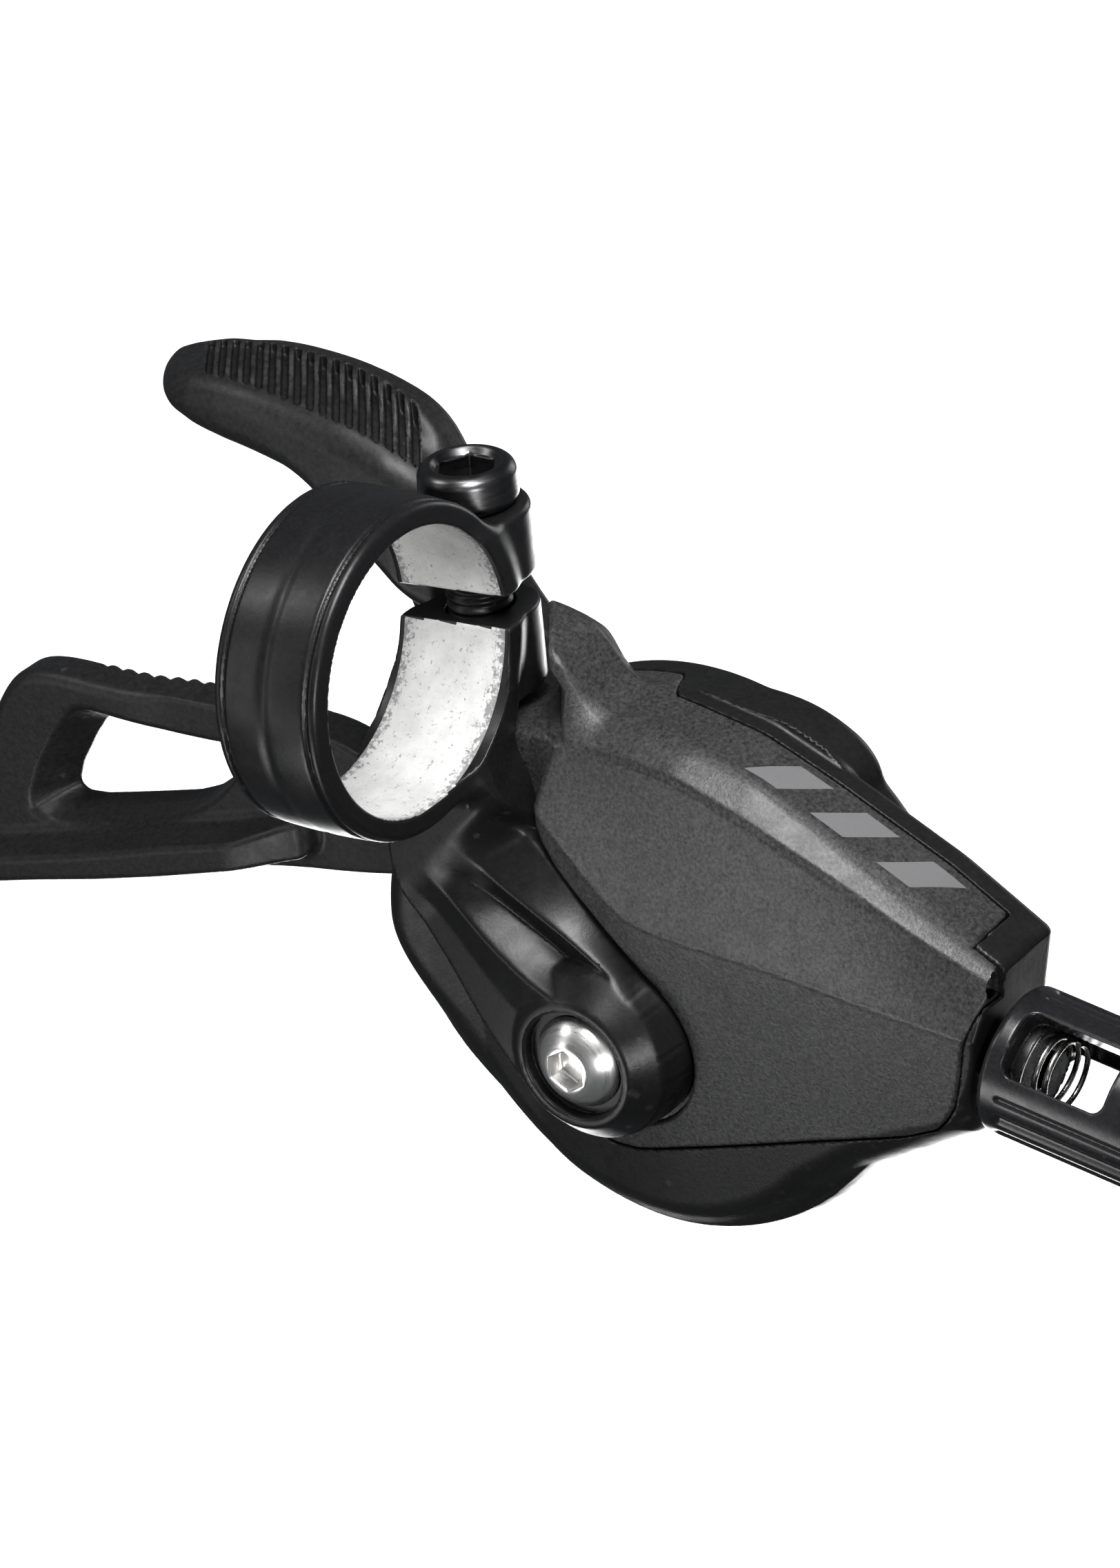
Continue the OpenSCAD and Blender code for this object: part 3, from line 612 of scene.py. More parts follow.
# ---------------------------------------------------------------- main lever
HUB_R, LEVER_BORE_R = 6.2, 4.6
ARM_X = LEVER[1][0] - 2.9
PAD_X = LEVER[1][0] - 8.2
lever_outline = rounded(
    [(-17.6, -28.4), (-13.2, -25.2), (5.8, -1.5), (7.4, 4.6), (9.6, 8.6), (14, 10.4), (21, 11.2), (27, 10.4),
     (25, 5.6), (20, 3.6), (14.8, -3.8), (11.4, -12.6), (-5.4, -37.6), (-12, -41), (-19, -37)], 2)
lever_plate = Chart((-24, 40), (-46, 16), lambda y, z: np.minimum(
    polygon(y, z, lever_outline), rod(y, z, AXLE, HUB_R + 1.4)), 0.25)
pad_top = curve([(4, 0.5), (8.2, 4.9), (10.8, 6.8), (14.3, 8.4), (17.9, 9.4), (22.4, 10.2), (25.9, 10.5),
                 (29, 10.3), (32, 9.6), (36, 8.3)], 0.7)
pad_low = curve([(4, -9), (10, -6), (14, -1.5), (17.7, 2.6), (20.1, 4.1), (23.6, 4.9), (28.5, 5.7), (31, 6.4),
                 (36, 7.6)], 0.7)
PAD_PLAN = rounded([(PAD_X, 6.5), (PAD_X, 30.2), (PAD_X + 2.6, 33.4), (PAD_X + 5.6, 35.2),
                    (PAD_X + 8.2, 34.2), (PAD_X + 8.2, 6.5)], 2)
pad_plan = Chart((14, 29), (2, 40), lambda x, y: polygon(x, y, PAD_PLAN), 0.2)
GROOVES, GROOVE_PITCH, GROOVE_FIRST = 17, 1.19, 10.0


def lever_field(x, y, z):
    hub = ease(rod(y, z, AXLE, HUB_R), span(x, 18.05, LEVER[1][0]), 0.3)
    plate = ease(lever_plate(y, z), span(x, ARM_X, LEVER[1][0]), 0.7)
    tilt = 0.17 * (x - PAD_X)
    top = (z - pad_top(y) - tilt) * 0.9
    low = (pad_low(y) + 0.5 * tilt - z) * 0.85
    pad = ease(ease(top, low, 1.5), pad_plan(x, y), 1.9)
    lane = y - 0.66 * (x - PAD_X - 4) - GROOVE_FIRST
    row = np.round(np.clip(lane / GROOVE_PITCH, 0, GROOVES - 1))
    groove = np.abs(lane - row * GROOVE_PITCH) * 0.83 - 0.27
    groove = ease(groove, pad_plan(x, y) + 1.5, 0.2)
    groove = ease(groove, -0.6 - top, 0.15)
    groove = np.maximum(groove, top - 1.5)
    body = fillet(hub, plate, 1.2)
    body = fillet(body, pad, 1.8)
    body = ease(body, -groove, 0.12)
    return np.maximum(body, -rod(y, z, AXLE, LEVER_BORE_R))


# ---------------------------------------------------------------- release lever
RELEASE = corners("release_lever")
RELEASE_X = (12.6, 16.6)
release_outline = rounded(
    [(PIVOT[0] - 1.4, PIVOT[1] + 2.7), (3.4, -18.6), (8.6, -17.6), (12.3, -15.7), (16, -14.7), (26, -14.6),
     (36, -15.0), (43.2, -14.7), (46.4, -16.2), (49.6, -22), (51.6, -27.6), (51.4, -33.2), (49.6, -34.5),
     (44, -33.2), (34, -30.4), (22, -27.5), (11, -26.2), (5, -24.6), (PIVOT[0] - 1.4, PIVOT[1] - 2.9),
     (PIVOT[0] - 3.2, PIVOT[1])], 2)
window_near = rounded(
    [(23.0, -17.6), (28.6, -17.8), (34.8, -17.6), (39.4, -17.2), (41.2, -18.6), (45.2, -25.2), (45.4, -28.4),
     (39, -27.6), (32.6, -26.0), (28, -24.1), (24.3, -20.6)], 1)
window_far = rounded(
    [(22.8, -19.0), (31.6, -19.4), (38.2, -19.3), (39.7, -20.2), (43.2, -25.9), (42.0, -26.9), (35.5, -25.4),
     (29.3, -23.9), (26.5, -21.8)], 1)
release_shape = Chart((-6, 56), (-39, -8), lambda y, z: polygon(y, z, release_outline), 0.3)
hole_near = Chart((-6, 56), (-39, -8), lambda y, z: polygon(y, z, window_near), 0.25)
hole_far = Chart((-6, 56), (-39, -8), lambda y, z: polygon(y, z, window_far), 0.25)
foot_top = curve([(14, -21.6), (17.3, -22.5), (23.8, -24.6), (30.2, -26.2), (36.7, -28.1),
                  (43.1, -29.7), (52, -31.9)], 0.8)
foot_low = curve([(14, -24.5), (17.6, -25.4), (24, -27.1), (30.5, -28.9), (36.9, -30.5),
                  (43.3, -31.9), (52, -34)], 0.8)
FOOT_RISE = 0.27
RIB_PITCH, RIB_HEIGHT, RIB_FROM = 1.55, 0.14, 31.7
PIVOT_BOSS_R, PIVOT_BORE_R = 3.0, 1.66


def release_field(x, y, z):
    ribs = RIB_HEIGHT * np.cos(2 * np.pi * (y - RIB_FROM) / RIB_PITCH)
    ribs = ribs * ramp(y, 23, 24.5) * ramp(y, 39.6, 38.4) * ramp(z, -17, -15.5)
    dish = 0.45 * ramp(y, 35.2, 30.2) * ramp(y, 22.5, 25) * ramp(z, -20, -18.5)
    edge = release_shape(y, z) - ribs * ramp(x, 13.4, 13.9)
    loop = ease(edge, span(x, RELEASE_X[0] + dish, RELEASE_X[1]), 0.45 + 0.6 * ramp(y, 30, 34))
    depth = np.clip((x - RELEASE_X[0]) / (RELEASE_X[1] - RELEASE_X[0]), 0, 1)
    loop = ease(loop, -(hole_near(y, z) * (1 - depth) + hole_far(y, z) * depth), 0.45)
    reach = 9.2 + 1.6 * ramp(y, 24, 17) + 1.2 * ramp(y, 48.5, 51.5)
    rise = foot_top(y) + FOOT_RISE * (x - RELEASE[0][0])
    foot = ease(ease((z - rise) * 0.95, (foot_low(y) - z) * 0.95, 0.5), span(x, reach, 14.6), 0.5)
    foot = ease(foot, span(y, 16.6, 51.2), 1.2)
    body = fillet(loop, foot, 0.7)
    boss = rod(y, z, PIVOT, PIVOT_BOSS_R)
    body = np.minimum(body, ease(boss, span(x, *RELEASE_X), 0.3))
    return np.maximum(body, -rod(y, z, PIVOT, PIVOT_BORE_R))


# ---------------------------------------------------------------- cable adjuster
BARREL_R = 5.8
BARREL_BACK, BARREL_L, BARREL_FLOOR = 0.4, 17.0, 2.6
WINDOW_TURN, WINDOW_Z, WINDOW_W, WINDOW_L = math.radians(132), 2.1, 5.2, 8.6
WINDOW_CORNER = 0.9
FLUTES = ((0.84, 0.24, 0.16), (1.19, 0.5, 0.42), (np.pi / 2, 0.5, 0.42))  # turn, width, depth
BARREL_BORE_R, STEM_R, CABLE_BORE_R, THREAD_PITCH = 3.7, 2.5, 1.5, 0.8
SEAT_R, SOCKET_R, SEAT_HOLE_R, SEAT_L, SOCKET_L = 3.5, 2.55, 0.9, 6.2, 5.0


def barrel_field(x, y, z):
    a, b, out = cable_frame(x, y, z)
    r = np.hypot(a, b)
    turn = np.arctan2(b, a) - WINDOW_TURN
    turn = np.abs((turn + np.pi / 2) % np.pi - np.pi / 2)
    end = BARREL_BACK + BARREL_L
    outer = BARREL_R - 0.55 * ramp(out, end - 3.5, end)
    tube = ease(r - outer, span(out, BARREL_BACK, end), 0.6)
    for at, wide, deep in FLUTES:
        miss = np.hypot((turn - at) * BARREL_R, np.maximum(BARREL_BACK + 2.0 - out, 0))
        tube = tube + deep * np.exp(-((miss / wide) ** 2)) * (out > 0)
    across = np.sin(turn) * r
    length = span(out, WINDOW_Z, WINDOW_Z + WINDOW_L)
    window = ease(np.abs(across) - WINDOW_W / 2, length, WINDOW_CORNER)
    floor = np.maximum(r - 3.9, out - BARREL_BACK - BARREL_FLOOR)
    tube = ease(tube, -np.maximum(window, -floor), 0.3)
    bore = np.maximum(r - BARREL_BORE_R, BARREL_BACK + BARREL_FLOOR - out)
    tube = ease(tube, -bore, 0.15)
    thread = 0.12 * np.cos(2 * np.pi * out / THREAD_PITCH)
    stem = np.maximum(r - STEM_R + thread, span(out, -7.5, 1.5))
    return np.maximum(np.minimum(tube, stem), CABLE_BORE_R - r)


def seat_field(x, y, z):
    a, b, out = cable_frame(x, y, z)
    r = np.hypot(a, b)
    end = BARREL_BACK + BARREL_L - 0.4
    body = ease(r - SEAT_R, span(out, end - SEAT_L, end), 0.4)
    body = np.maximum(body, -np.maximum(r - SOCKET_R, end - SOCKET_L - out))
    return np.maximum(body, SEAT_HOLE_R - r)


# ---------------------------------------------------------------- bolts
DOME_R, DOME_HEX_R, DOME_SHANK_R = 3.85, 1.45, 1.95
BOLT_HEAD_R, BOLT_HEX_R, BOLT_RIM_R, BOLT_SHANK_R = 3.9, 2.05, 2.75, 2.45


def to_flat(r, angle):
    """Distance from a hexagon's middle, measured square to its nearest side."""
    return r * np.cos(np.abs((angle + np.pi / 6) % (np.pi / 3) - np.pi / 6))


def clamp_bolt_field(x, y, z):
    dx = x - PINCH_X
    r = np.hypot(dx, y)
    top = BOLT[1][2]
    head = ease(r - BOLT_HEAD_R + 0.05 * (z - EAR_TOP), span(z, EAR_TOP + 0.02, top), 0.95)
    socket = np.maximum(to_flat(r, np.arctan2(y, dx)) - BOLT_HEX_R, EAR_TOP + 0.5 - z)
    rim = np.maximum(r - BOLT_RIM_R - (z - top) * 0.9, top - 0.55 - z)
    head = ease(head, -socket, 0.12)
    head = ease(head, -rim, 0.12)
    thread = 0.1 * np.cos(2 * np.pi * z / THREAD_PITCH) * (z < EAR_TOP - 6)
    shank = ease(r - BOLT_SHANK_R + thread, span(z, LUG_LOW + 1, EAR_TOP + 0.5), 0.2)
    return np.minimum(head, shank)


def dome_field(x, y, z):
    dy, dz = y - AXLE[0], z - AXLE[1]
    r = np.hypot(dy, dz)
    tip = corners("bracket_bolt")[0][0]
    height = WELL_X - tip - 0.02
    ball = (DOME_R**2 + height**2) / (2 * height)
    dome = np.hypot(r, x - tip - ball) - ball
    head = ease(dome, x - WELL_X + 0.02, 0.25)
    socket = np.maximum(to_flat(r, np.arctan2(dz, dy)) - DOME_HEX_R, x - tip - 1.9)
    lead = np.maximum(r - 1.85, x - tip - 0.36)
    head = ease(head, -socket, 0.08)
    head = ease(head, -lead, 0.1)
    shank = np.maximum(r - DOME_SHANK_R, span(x, WELL_X - 0.4, WELL_X + 8.5))
    return np.minimum(head, shank)


# ---------------------------------------------------------------- materials
def material(name):
    m = bpy.data.materials.new(name)
    m.use_nodes = True
    t = m.node_tree
    return m, t, t.nodes["Principled BSDF"]


def wire(tree, a, b):
    tree.links.new(a, b)


def noise(tree, coords, scale, detail=4.0, rough=0.6):
    n = tree.nodes.new("ShaderNodeTexNoise")
    n.inputs["Scale"].default_value = scale
    n.inputs["Detail"].default_value = detail
    n.inputs["Roughness"].default_value = rough
    wire(tree, coords, n.inputs["Vector"])
    return n.outputs["Fac"]


def ranged(tree, value, a, b, lo, hi):
    n = tree.nodes.new("ShaderNodeMapRange")
    n.inputs["From Min"].default_value = a
    n.inputs["From Max"].default_value = b
    n.inputs["To Min"].default_value = lo
    n.inputs["To Max"].default_value = hi
    wire(tree, value, n.inputs["Value"])
    return n.outputs["Result"]


def mixed(tree, fac, a, b):
    n = tree.nodes.new("ShaderNodeMix")
    n.data_type = "RGBA"
    wire(tree, fac, n.inputs["Factor"])
    for socket, value in ((n.inputs[6], a), (n.inputs[7], b)):
        if hasattr(value, "links"):
            wire(tree, value, socket)
        else:
            socket.default_value = (*value, 1)
    return n.outputs[2]


def math_node(tree, op, a, b=None):
    n = tree.nodes.new("ShaderNodeMath")
    n.operation = op
    for i, value in enumerate((a, b)):
        if value is None:
            continue
        if hasattr(value, "links"):
            wire(tree, value, n.inputs[i])
        else:
            n.inputs[i].default_value = value
    return n.outputs[0]


BAR_X, BAR_ALONG = (12.0, 15.2), (-30.0, -13.0)
BAR_PITCH, BAR_SHARE, BAR_LEAN = 5.6, 0.5, 0.9
BAR_COLOUR = (0.13, 0.13, 0.132)


def bars(tree, place):
    """Three plain slanted bars along the cover's top strip, 1 on a bar and 0 off it."""
    axes = tree.nodes.new("ShaderNodeSeparateXYZ")
    wire(tree, place, axes.inputs[0])
    x, y = axes.outputs["X"], axes.outputs["Y"]
    lean = math_node(tree, "ADD", y, math_node(tree, "MULTIPLY", x, BAR_LEAN))
    turn = math_node(tree, "FRACT", math_node(tree, "DIVIDE", lean, BAR_PITCH * MM))
    on = math_node(tree, "LESS_THAN", turn, BAR_SHARE)
    for value, limits in ((x, BAR_X), (lean, BAR_ALONG)):
        on = math_node(tree, "MULTIPLY", on, math_node(tree, "GREATER_THAN", value, limits[0] * MM))
        on = math_node(tree, "MULTIPLY", on, math_node(tree, "LESS_THAN", value, limits[1] * MM))
    return on


def bumped(tree, shader, height, distance):
    """Lifts a surface by a pattern, distance in mm."""
    n = tree.nodes.new("ShaderNodeBump")
    n.inputs["Distance"].default_value = distance * MM
    wire(tree, height, n.inputs["Height"])
    wire(tree, n.outputs["Normal"], shader.inputs["Normal"])
    return n


def finish(name, dark, light, rough, grain=2600, speck=0.5, bump=0.02, metallic=0.0, wear=0.0,
           coat=0.0, level=0.25, marked=False):
    """A moulded, cast or plated surface: colour specks, uneven gloss, fine grain, and rubbed edges."""
    m, t, b = material(name)
    place = t.nodes.new("ShaderNodeTexCoord").outputs["Object"]
    fine = noise(t, place, grain, 3.0, 0.7)
    broad = noise(t, place, 90, 4.0, 0.55)
    specks = ranged(t, fine, 0.5 - 0.5 * speck, 0.5 + 0.5 * speck, 0, 1)
    colour = mixed(t, specks, dark, light)
    tint = ranged(t, broad, 0.3, 0.7, 0.9, 1.1)
    scale = t.nodes.new("ShaderNodeVectorMath")
    scale.operation = "SCALE"
    wire(t, colour, scale.inputs[0])
    wire(t, tint, scale.inputs["Scale"])
    colour = scale.outputs[0]
    if wear:
        geo = t.nodes.new("ShaderNodeNewGeometry")
        worn = ranged(t, geo.outputs["Pointiness"], 0.53, 0.6, 0, wear)
        patch = ranged(t, noise(t, place, 420, 5.0, 0.7), 0.45, 0.62, 0, 1)
        rubbed = tuple(min(1, 3.2 * c + 0.03) for c in light)
        colour = mixed(t, math_node(t, "MULTIPLY", worn, patch), colour, rubbed)
    if marked:
        colour = mixed(t, bars(t, place), colour, BAR_COLOUR)
    wire(t, colour, b.inputs["Base Color"])
    gloss = ranged(t, noise(t, place, 700, 5.0, 0.65), 0.3, 0.7, rough - 0.06, rough + 0.06)
    wire(t, gloss, b.inputs["Roughness"])
    b.inputs["Metallic"].default_value = metallic
    b.inputs["Specular IOR Level"].default_value = level
    b.inputs["Coat Weight"].default_value = coat
    b.inputs["Coat Roughness"].default_value = 0.25
    bumped(t, b, fine, bump).inputs["Strength"].default_value = 1.0
    return m


def turned(name, dark, light, rough, metallic=1.0, axis=(0, 0, 1), rings=5000, bump=0.0015):
    """Machined or drawn steel, with fine tool marks stretched round the axis."""
    m, t, b = material(name)
    place = t.nodes.new("ShaderNodeTexCoord").outputs["Object"]
    stretch = t.nodes.new("ShaderNodeMapping")
    wire(t, place, stretch.inputs["Vector"])
    stretch.inputs["Scale"].default_value = tuple(1.0 if a else 0.06 for a in axis)
    marks = noise(t, stretch.outputs["Vector"], rings, 4.0, 0.7)
    stain = noise(t, place, 380, 5.0, 0.6)
    colour = mixed(t, ranged(t, stain, 0.3, 0.7, 0, 1), dark, light)
    wire(t, colour, b.inputs["Base Color"])
    wire(t, ranged(t, marks, 0.3, 0.7, rough - 0.05, rough + 0.09), b.inputs["Roughness"])
    b.inputs["Metallic"].default_value = metallic
    bumped(t, b, marks, bump)
    return m


def blasted(name):
    """Bare blasted aluminium with dark pits, denser near the band's edges."""
    m, t, b = material(name)
    coord = t.nodes.new("ShaderNodeTexCoord")
    place = coord.outputs["Object"]
    split_xyz = t.nodes.new("ShaderNodeSeparateXYZ")
    wire(t, place, split_xyz.inputs[0])
    off = math_node(t, "ABSOLUTE", split_xyz.outputs["Y"])
    edge = ranged(t, off, 0.0033, 0.0046, 0.0, 1.0)
    pits = noise(t, place, 2400, 4.0, 0.75)
    level = math_node(t, "SUBTRACT", pits, math_node(t, "MULTIPLY", edge, 0.19))
    spot = ranged(t, level, 0.33, 0.41, 1.0, 0.0)
    cloud = ranged(t, noise(t, place, 260, 5.0, 0.65), 0.3, 0.7, 0, 1)
    base = mixed(t, cloud, (0.42, 0.42, 0.41), (0.62, 0.62, 0.61))
    colour = mixed(t, spot, base, (0.2, 0.2, 0.2))
    wire(t, colour, b.inputs["Base Color"])
    b.inputs["Metallic"].default_value = 0.05
    wire(t, ranged(t, pits, 0.3, 0.7, 0.5, 0.75), b.inputs["Roughness"])
    bumped(t, b, pits, 0.05)
    return m


M = {
    "clamp_black": finish(
        "satin_cast_black", (0.004, 0.004, 0.0045), (0.009, 0.009, 0.0095), 0.34,
        grain=3200, bump=0.01, wear=0.4, level=0.27),
    "cover_grey": finish(
        "speckled_grey", (0.007, 0.007, 0.0075), (0.052, 0.052, 0.053), 0.38,
        grain=3300, speck=0.42, bump=0.03, metallic=0.1, wear=0.6, level=0.28, marked=True),
    "case_black": finish(
        "moulded_black", (0.004, 0.004, 0.0042), (0.009, 0.009, 0.009), 0.42, wear=0.3),
    "lever_grey": finish(
        "filled_nylon_grey", (0.006, 0.006, 0.0065), (0.021, 0.021, 0.0215), 0.4,
        grain=2400, wear=0.4),
    "barrel_black": finish(
        "anodised_black", (0.008, 0.008, 0.009), (0.018, 0.018, 0.019), 0.27,
        grain=3000, bump=0.008, metallic=0.2, wear=0.5, coat=0.1, level=0.3),
    "plug_rubber": finish(
        "matt_rubber", (0.01, 0.01, 0.01), (0.02, 0.02, 0.02), 0.75, grain=1800, speck=0.6, bump=0.04),
    "nylon": finish(
        "natural_nylon", (0.66, 0.63, 0.55), (0.76, 0.74, 0.67), 0.5,
        grain=1400, speck=0.6, bump=0.015),
    "bolt_steel": turned("dark_bolt_steel", (0.05, 0.05, 0.052), (0.12, 0.12, 0.122), 0.3),
    "bright_steel": turned(
        "polished_steel", (0.8, 0.79, 0.77), (0.93, 0.92, 0.9), 0.28, axis=(1, 0, 0), bump=0.0006),
    "plated_steel": turned(
        "zinc_plate", (0.52, 0.52, 0.5), (0.72, 0.72, 0.69), 0.34, axis=(1, 1, 0), rings=4000),
    "spring_steel": turned(
        "spring_wire", (0.32, 0.31, 0.3), (0.5, 0.49, 0.47), 0.26, axis=(1, 0, 0)),
    "brass": turned("drawn_brass", (0.6, 0.42, 0.16), (0.76, 0.56, 0.26), 0.28, axis=(0, 1, 0)),
}
BARE = blasted("blasted_aluminium")

# ---------------------------------------------------------------- the pieces
band = sculpt("clamp_band_cast", band_field, (BAND[0] - 1.2, BAND[1] + 1.2), STEP,
              "housing", "clamp_band", "clamp_black")
sculpt("front_cover_shell", cover_field, (COVER[0] - 3, COVER[1] + 3), STEP,
       "housing", "front_cover", "cover_grey")
sculpt("main_case_shell", case_field, (CASE[0] - 3, CASE[1] + 2.5), STEP,
       "housing", "main_case", "case_black")
sculpt("main_lever_moulded", lever_field, (LEVER[0] - 2, LEVER[1] + 3.5), STEP * 0.92,
       "main_lever", "main_lever", "lever_grey")
sculpt("release_lever_moulded", release_field, room("release_lever"), STEP * 0.92,
       "release_lever", "release_lever", "lever_grey")
sculpt("barrel_adjuster_fluted", barrel_field, room("barrel_adjuster"), FINE * 0.8,
       "adjuster_barrel", "barrel_adjuster", "barrel_black")
sculpt("housing_seat_sleeve", seat_field, room("housing_seat"), FINE,
       "adjuster_seat", "housing_seat", "case_black")
bolt = sculpt("clamp_bolt_cap", clamp_bolt_field, room("clamp_bolt", (0.8, 0.8, 0.8)), FINE * 0.8,
              "housing", "clamp_bolt", "bolt_steel")
sculpt("bracket_bolt_dome", dome_field, room("bracket_bolt", (0.8, 0.8, 0.8)), FINE * 0.6,
       "housing", "bracket_bolt", "bright_steel")


def coil(name, radius, wire_r, start, end, turns, body, node, slot):
    """A helical spring along the cable, with ground ends closed up."""
    steps, sides = int(turns * 40), 12
    points, faces = [], []
    for i in range(steps + 1):
        f = i / steps
        closed = f - 0.06 * math.sin(2 * math.pi * f)
        a = 2 * math.pi * turns * f
        out = start + (end - start) * closed
        for k in range(sides):
            w = 2 * math.pi * k / sides
            r = radius + wire_r * math.cos(w)
            h = out + wire_r * math.sin(w)
            across, up = r * math.cos(a), r * math.sin(a)
            y = CABLE[1] + up * ALONG[2] + h * ALONG[1]
            z = CABLE[2] - up * ALONG[1] + h * ALONG[2]
            points.append(((CABLE[0] + across) * MM, y * MM, z * MM))
        if i:
            for k in range(sides):
                n = (k + 1) % sides
                b, t = (i - 1) * sides, i * sides
                faces.append((b + k, t + k, t + n, b + n))
    faces.append(tuple(range(sides)))
    faces.append(tuple(reversed(range(steps * sides, (steps + 1) * sides))))
    mesh = bpy.data.meshes.new(name)
    mesh.from_pydata(points, [], faces)
    mesh.validate()
    mesh.polygons.foreach_set("use_smooth", [len(p.vertices) == 4 for p in mesh.polygons])
    return placed(name, mesh, body, node, slot)


coil("adjuster_spring_coil", radius=2.75, wire_r=0.23, start=3.35, end=5.0, turns=2.2,
     body="adjuster_seat", node="adjuster_spring", slot="spring_steel")

# The band's seat is bare metal inside its chamfers, and the clamp bolt's lower shank is painted with the band's
# black as painted shade, where it shows in the dark slot between the ears
band.data.materials.append(BARE)
centres = np.zeros(len(band.data.polygons) * 3)
band.data.polygons.foreach_get("center", centres)
centres = centres.reshape(-1, 3) / MM
bare = (np.hypot(centres[:, 0], centres[:, 2]) < BAR_R + 0.06) & (np.abs(centres[:, 1]) < HALF_W - 0.12)
band.data.polygons.foreach_set("material_index", bare.astype(np.int32))
# Painted shade: the bolt below its head takes the band's black paint in place of the shade inside the clamp's slot
bolt.data.materials.append(M["clamp_black"])
for face in bolt.data.polygons:
    face.material_index = int(face.center.z < (EAR_TOP - 4) * MM)

NODE_PAINT = {
    "top_plate": "plated_steel", "base_plate": "plated_steel", "main_axle": "plated_steel",
    "axle_washer": "plated_steel", "axle_nut": "bolt_steel", "housing_screws": "bolt_steel",
    "spool_bush": "nylon", "lever_bush": "brass", "spool_spring": "spring_steel",
    "lever_spring": "spring_steel", "release_spring": "spring_steel", "pawl_pin": "plated_steel",
    "release_pin": "plated_steel", "cable_port_plug": "plug_rubber", "adjuster_insert": "brass",
    "cable_spool": "nylon", "ratchet_wheel": "plated_steel", "drive_plate": "plated_steel",
    "drive_pawl": "plated_steel", "holding_pawl": "plated_steel",
}
for node, slot_name in NODE_PAINT.items():
    data = frame["nodes"][node].data
    data.materials.clear()
    data.materials.append(M[slot_name])

# ---------------------------------------------------------------- stage, lights, camera
FLOOR_DROP, FLOOR_SIZE, FLOOR_CELLS = 0.05, 3.0, 24
lo, hi = CAD_BOX
mid = (Vector(lo) + Vector(hi)) / 2
ground = bpy.data.meshes.new("ground")
row = FLOOR_CELLS + 1
grid = [
    (mid.x + FLOOR_SIZE * (i / FLOOR_CELLS - 0.5), mid.y + FLOOR_SIZE * (j / FLOOR_CELLS - 0.5),
     lo[2] - FLOOR_DROP)
    for i in range(row) for j in range(row)
]
cells = [
    (i * row + j, (i + 1) * row + j, (i + 1) * row + j + 1, i * row + j + 1)
    for i in range(FLOOR_CELLS) for j in range(FLOOR_CELLS)
]
ground.from_pydata(grid, [], cells)
floor = bpy.data.objects.new("ground", ground)
bpy.context.scene.collection.objects.link(floor)
paper, _, shader = material("pale_paper")
shader.inputs["Base Color"].default_value = (0.92, 0.92, 0.92, 1)
shader.inputs["Roughness"].default_value = 0.9
shader.inputs["Emission Color"].default_value = (1, 1, 1, 1)
shader.inputs["Emission Strength"].default_value = 1.0
ground.materials.append(paper)
floor.visible_glossy = False
floor.visible_diffuse = False

world = bpy.data.worlds.new("studio")
bpy.context.scene.world = world
world.use_nodes = True
wt = world.node_tree
backdrop = wt.nodes["Background"]
path = wt.nodes.new("ShaderNodeLightPath")
sky = wt.nodes.new("ShaderNodeBackground")
sky.inputs["Color"].default_value = (1, 1, 1, 1)
sky.inputs["Strength"].default_value = 1.0
backdrop.inputs["Color"].default_value = (0.9, 0.95, 1.0, 1)
backdrop.inputs["Strength"].default_value = 0.1
mix = wt.nodes.new("ShaderNodeMixShader")
wt.links.new(path.outputs["Is Camera Ray"], mix.inputs["Fac"])
wt.links.new(backdrop.outputs[0], mix.inputs[1])
wt.links.new(sky.outputs[0], mix.inputs[2])
wt.links.new(mix.outputs[0], wt.nodes["World Output"].inputs["Surface"])

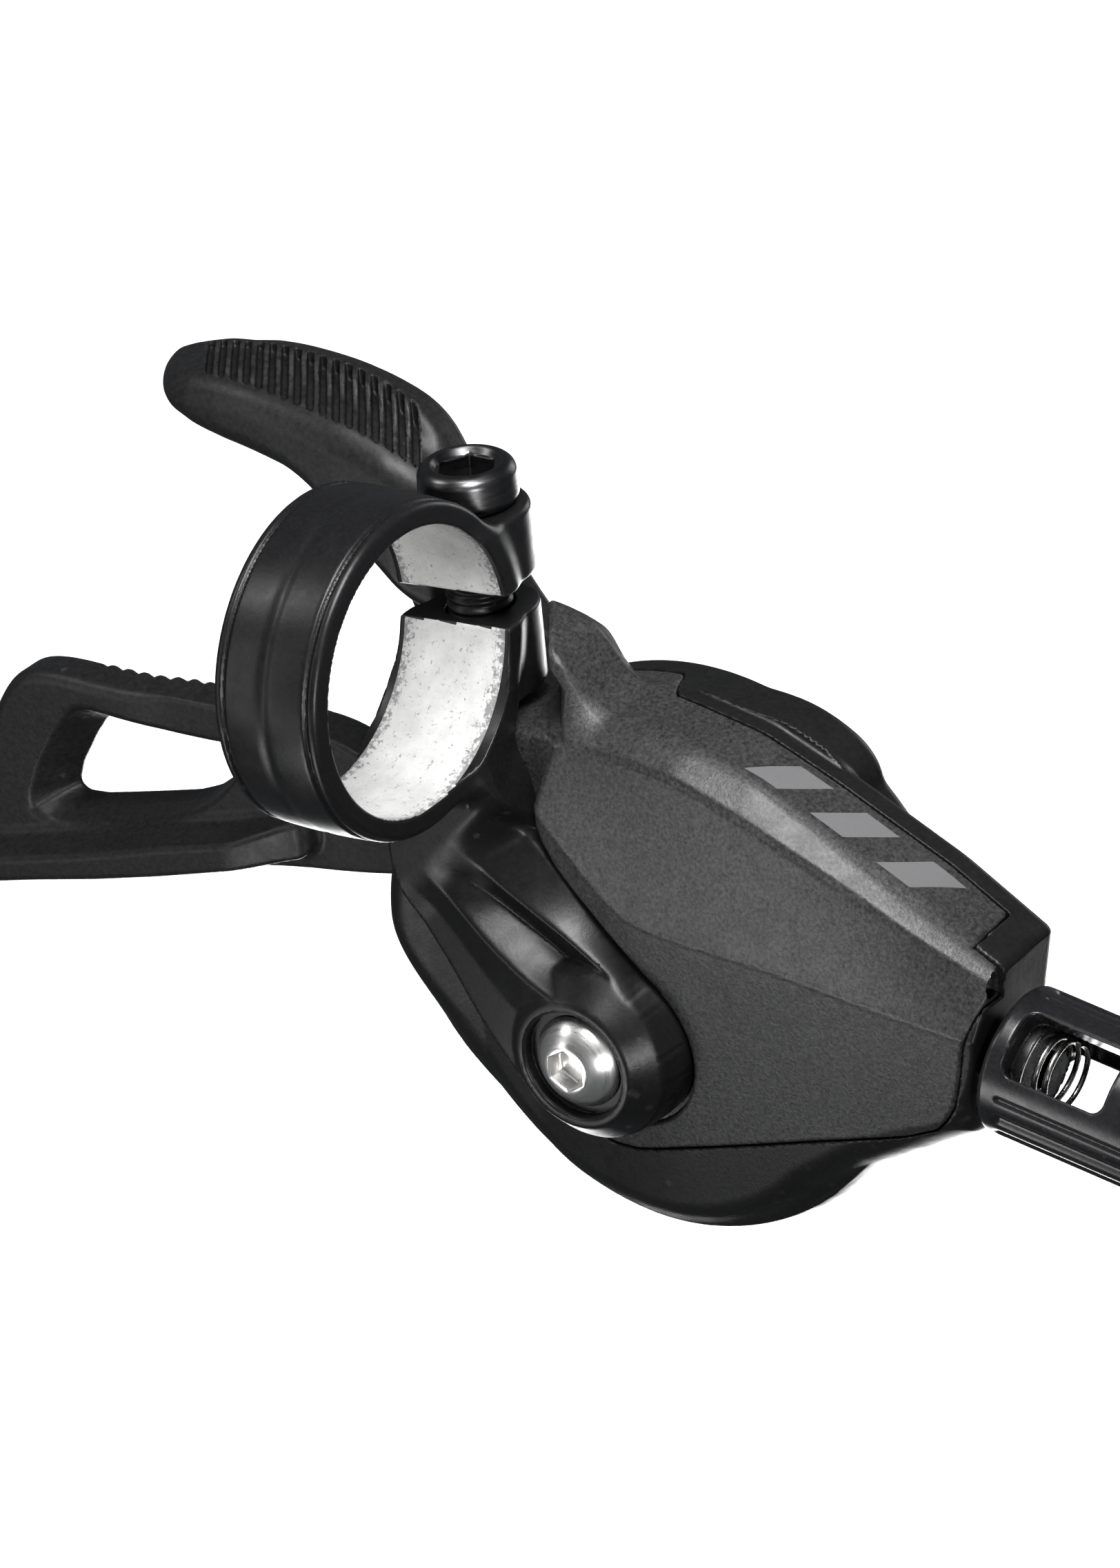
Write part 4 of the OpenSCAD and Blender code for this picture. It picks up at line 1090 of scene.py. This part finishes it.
AZIMUTH, ELEVATION, ROLL = math.radians(-52.7), math.radians(26.0), math.radians(5.8)
DISTANCE = 0.7
SENSOR = 36.0
FRAME_HEIGHT = 0.1163
right = Vector((math.cos(AZIMUTH), math.sin(AZIMUTH), 0))
level = math.cos(ELEVATION)
away = Vector((math.sin(AZIMUTH) * level, -math.cos(AZIMUTH) * level, math.sin(ELEVATION)))
up = away.cross(right)
right, up = (
    math.cos(ROLL) * right - math.sin(ROLL) * up,
    math.sin(ROLL) * right + math.cos(ROLL) * up,
)
SHIFT = Vector((-0.01431, 0.00909, -DISTANCE))
origin = -(SHIFT.x * right + SHIFT.y * up + SHIFT.z * away)
lens = bpy.data.cameras.new("camera")
lens.sensor_fit = "VERTICAL"
lens.sensor_height = SENSOR
lens.lens = SENSOR * DISTANCE / FRAME_HEIGHT
lens.clip_start, lens.clip_end = 0.01, 20
eye = bpy.data.objects.new("camera", lens)
bpy.context.scene.collection.objects.link(eye)
eye.matrix_world = Matrix(((right.x, up.x, away.x, origin.x), (right.y, up.y, away.y, origin.y),
                           (right.z, up.z, away.z, origin.z), (0, 0, 0, 1)))
bpy.context.scene.camera = eye


def softbox(name, across, rise, far, size_xy, power, target=mid):
    """A rectangular light placed by directions in the picture: right, up and towards the camera."""
    data = bpy.data.lights.new(name, "AREA")
    data.shape = "RECTANGLE"
    data.size, data.size_y = size_xy
    data.energy = power
    lamp = bpy.data.objects.new(name, data)
    bpy.context.scene.collection.objects.link(lamp)
    place = target + across * right + rise * up + far * away
    lamp.location = place
    lamp.rotation_euler = (target - place).to_track_quat("-Z", "Y").to_euler()
    lamp.visible_camera = False
    return lamp


NOSE = Vector(CABLE.tolist()) * MM
softbox("top", -0.05, 0.52, 0.4, (0.3, 0.07), 1.5)
softbox("upper_left", -0.5, 0.36, 0.18, (0.12, 0.2), 0.8)
softbox("tall_left", -0.62, -0.05, 0.16, (0.08, 0.4), 0.45)
softbox("low_left", -0.5, -0.27, 0.1, (0.24, 0.12), 0.18)
softbox("front_right", 0.16, -0.25, 0.43, (0.14, 0.14), 1.5)
softbox("nose_top", -0.03, 0.085, 0.085, (0.05, 0.05), 0.22, NOSE)
softbox("nose_left", -0.12, -0.083, 0.018, (0.05, 0.05), 0.06, NOSE)
softbox("back_right", 0.4, 0.3, -0.4, (0.2, 0.3), 0.5)
softbox("behind", 0.15, -0.12, -0.6, (0.5, 0.4), 5.0)
softbox("front", 0.1, 0.15, 0.8, (0.4, 0.3), 0.2)
bpy.context.scene.view_settings.view_transform = "Standard"
bpy.context.scene.view_settings.look = "None"
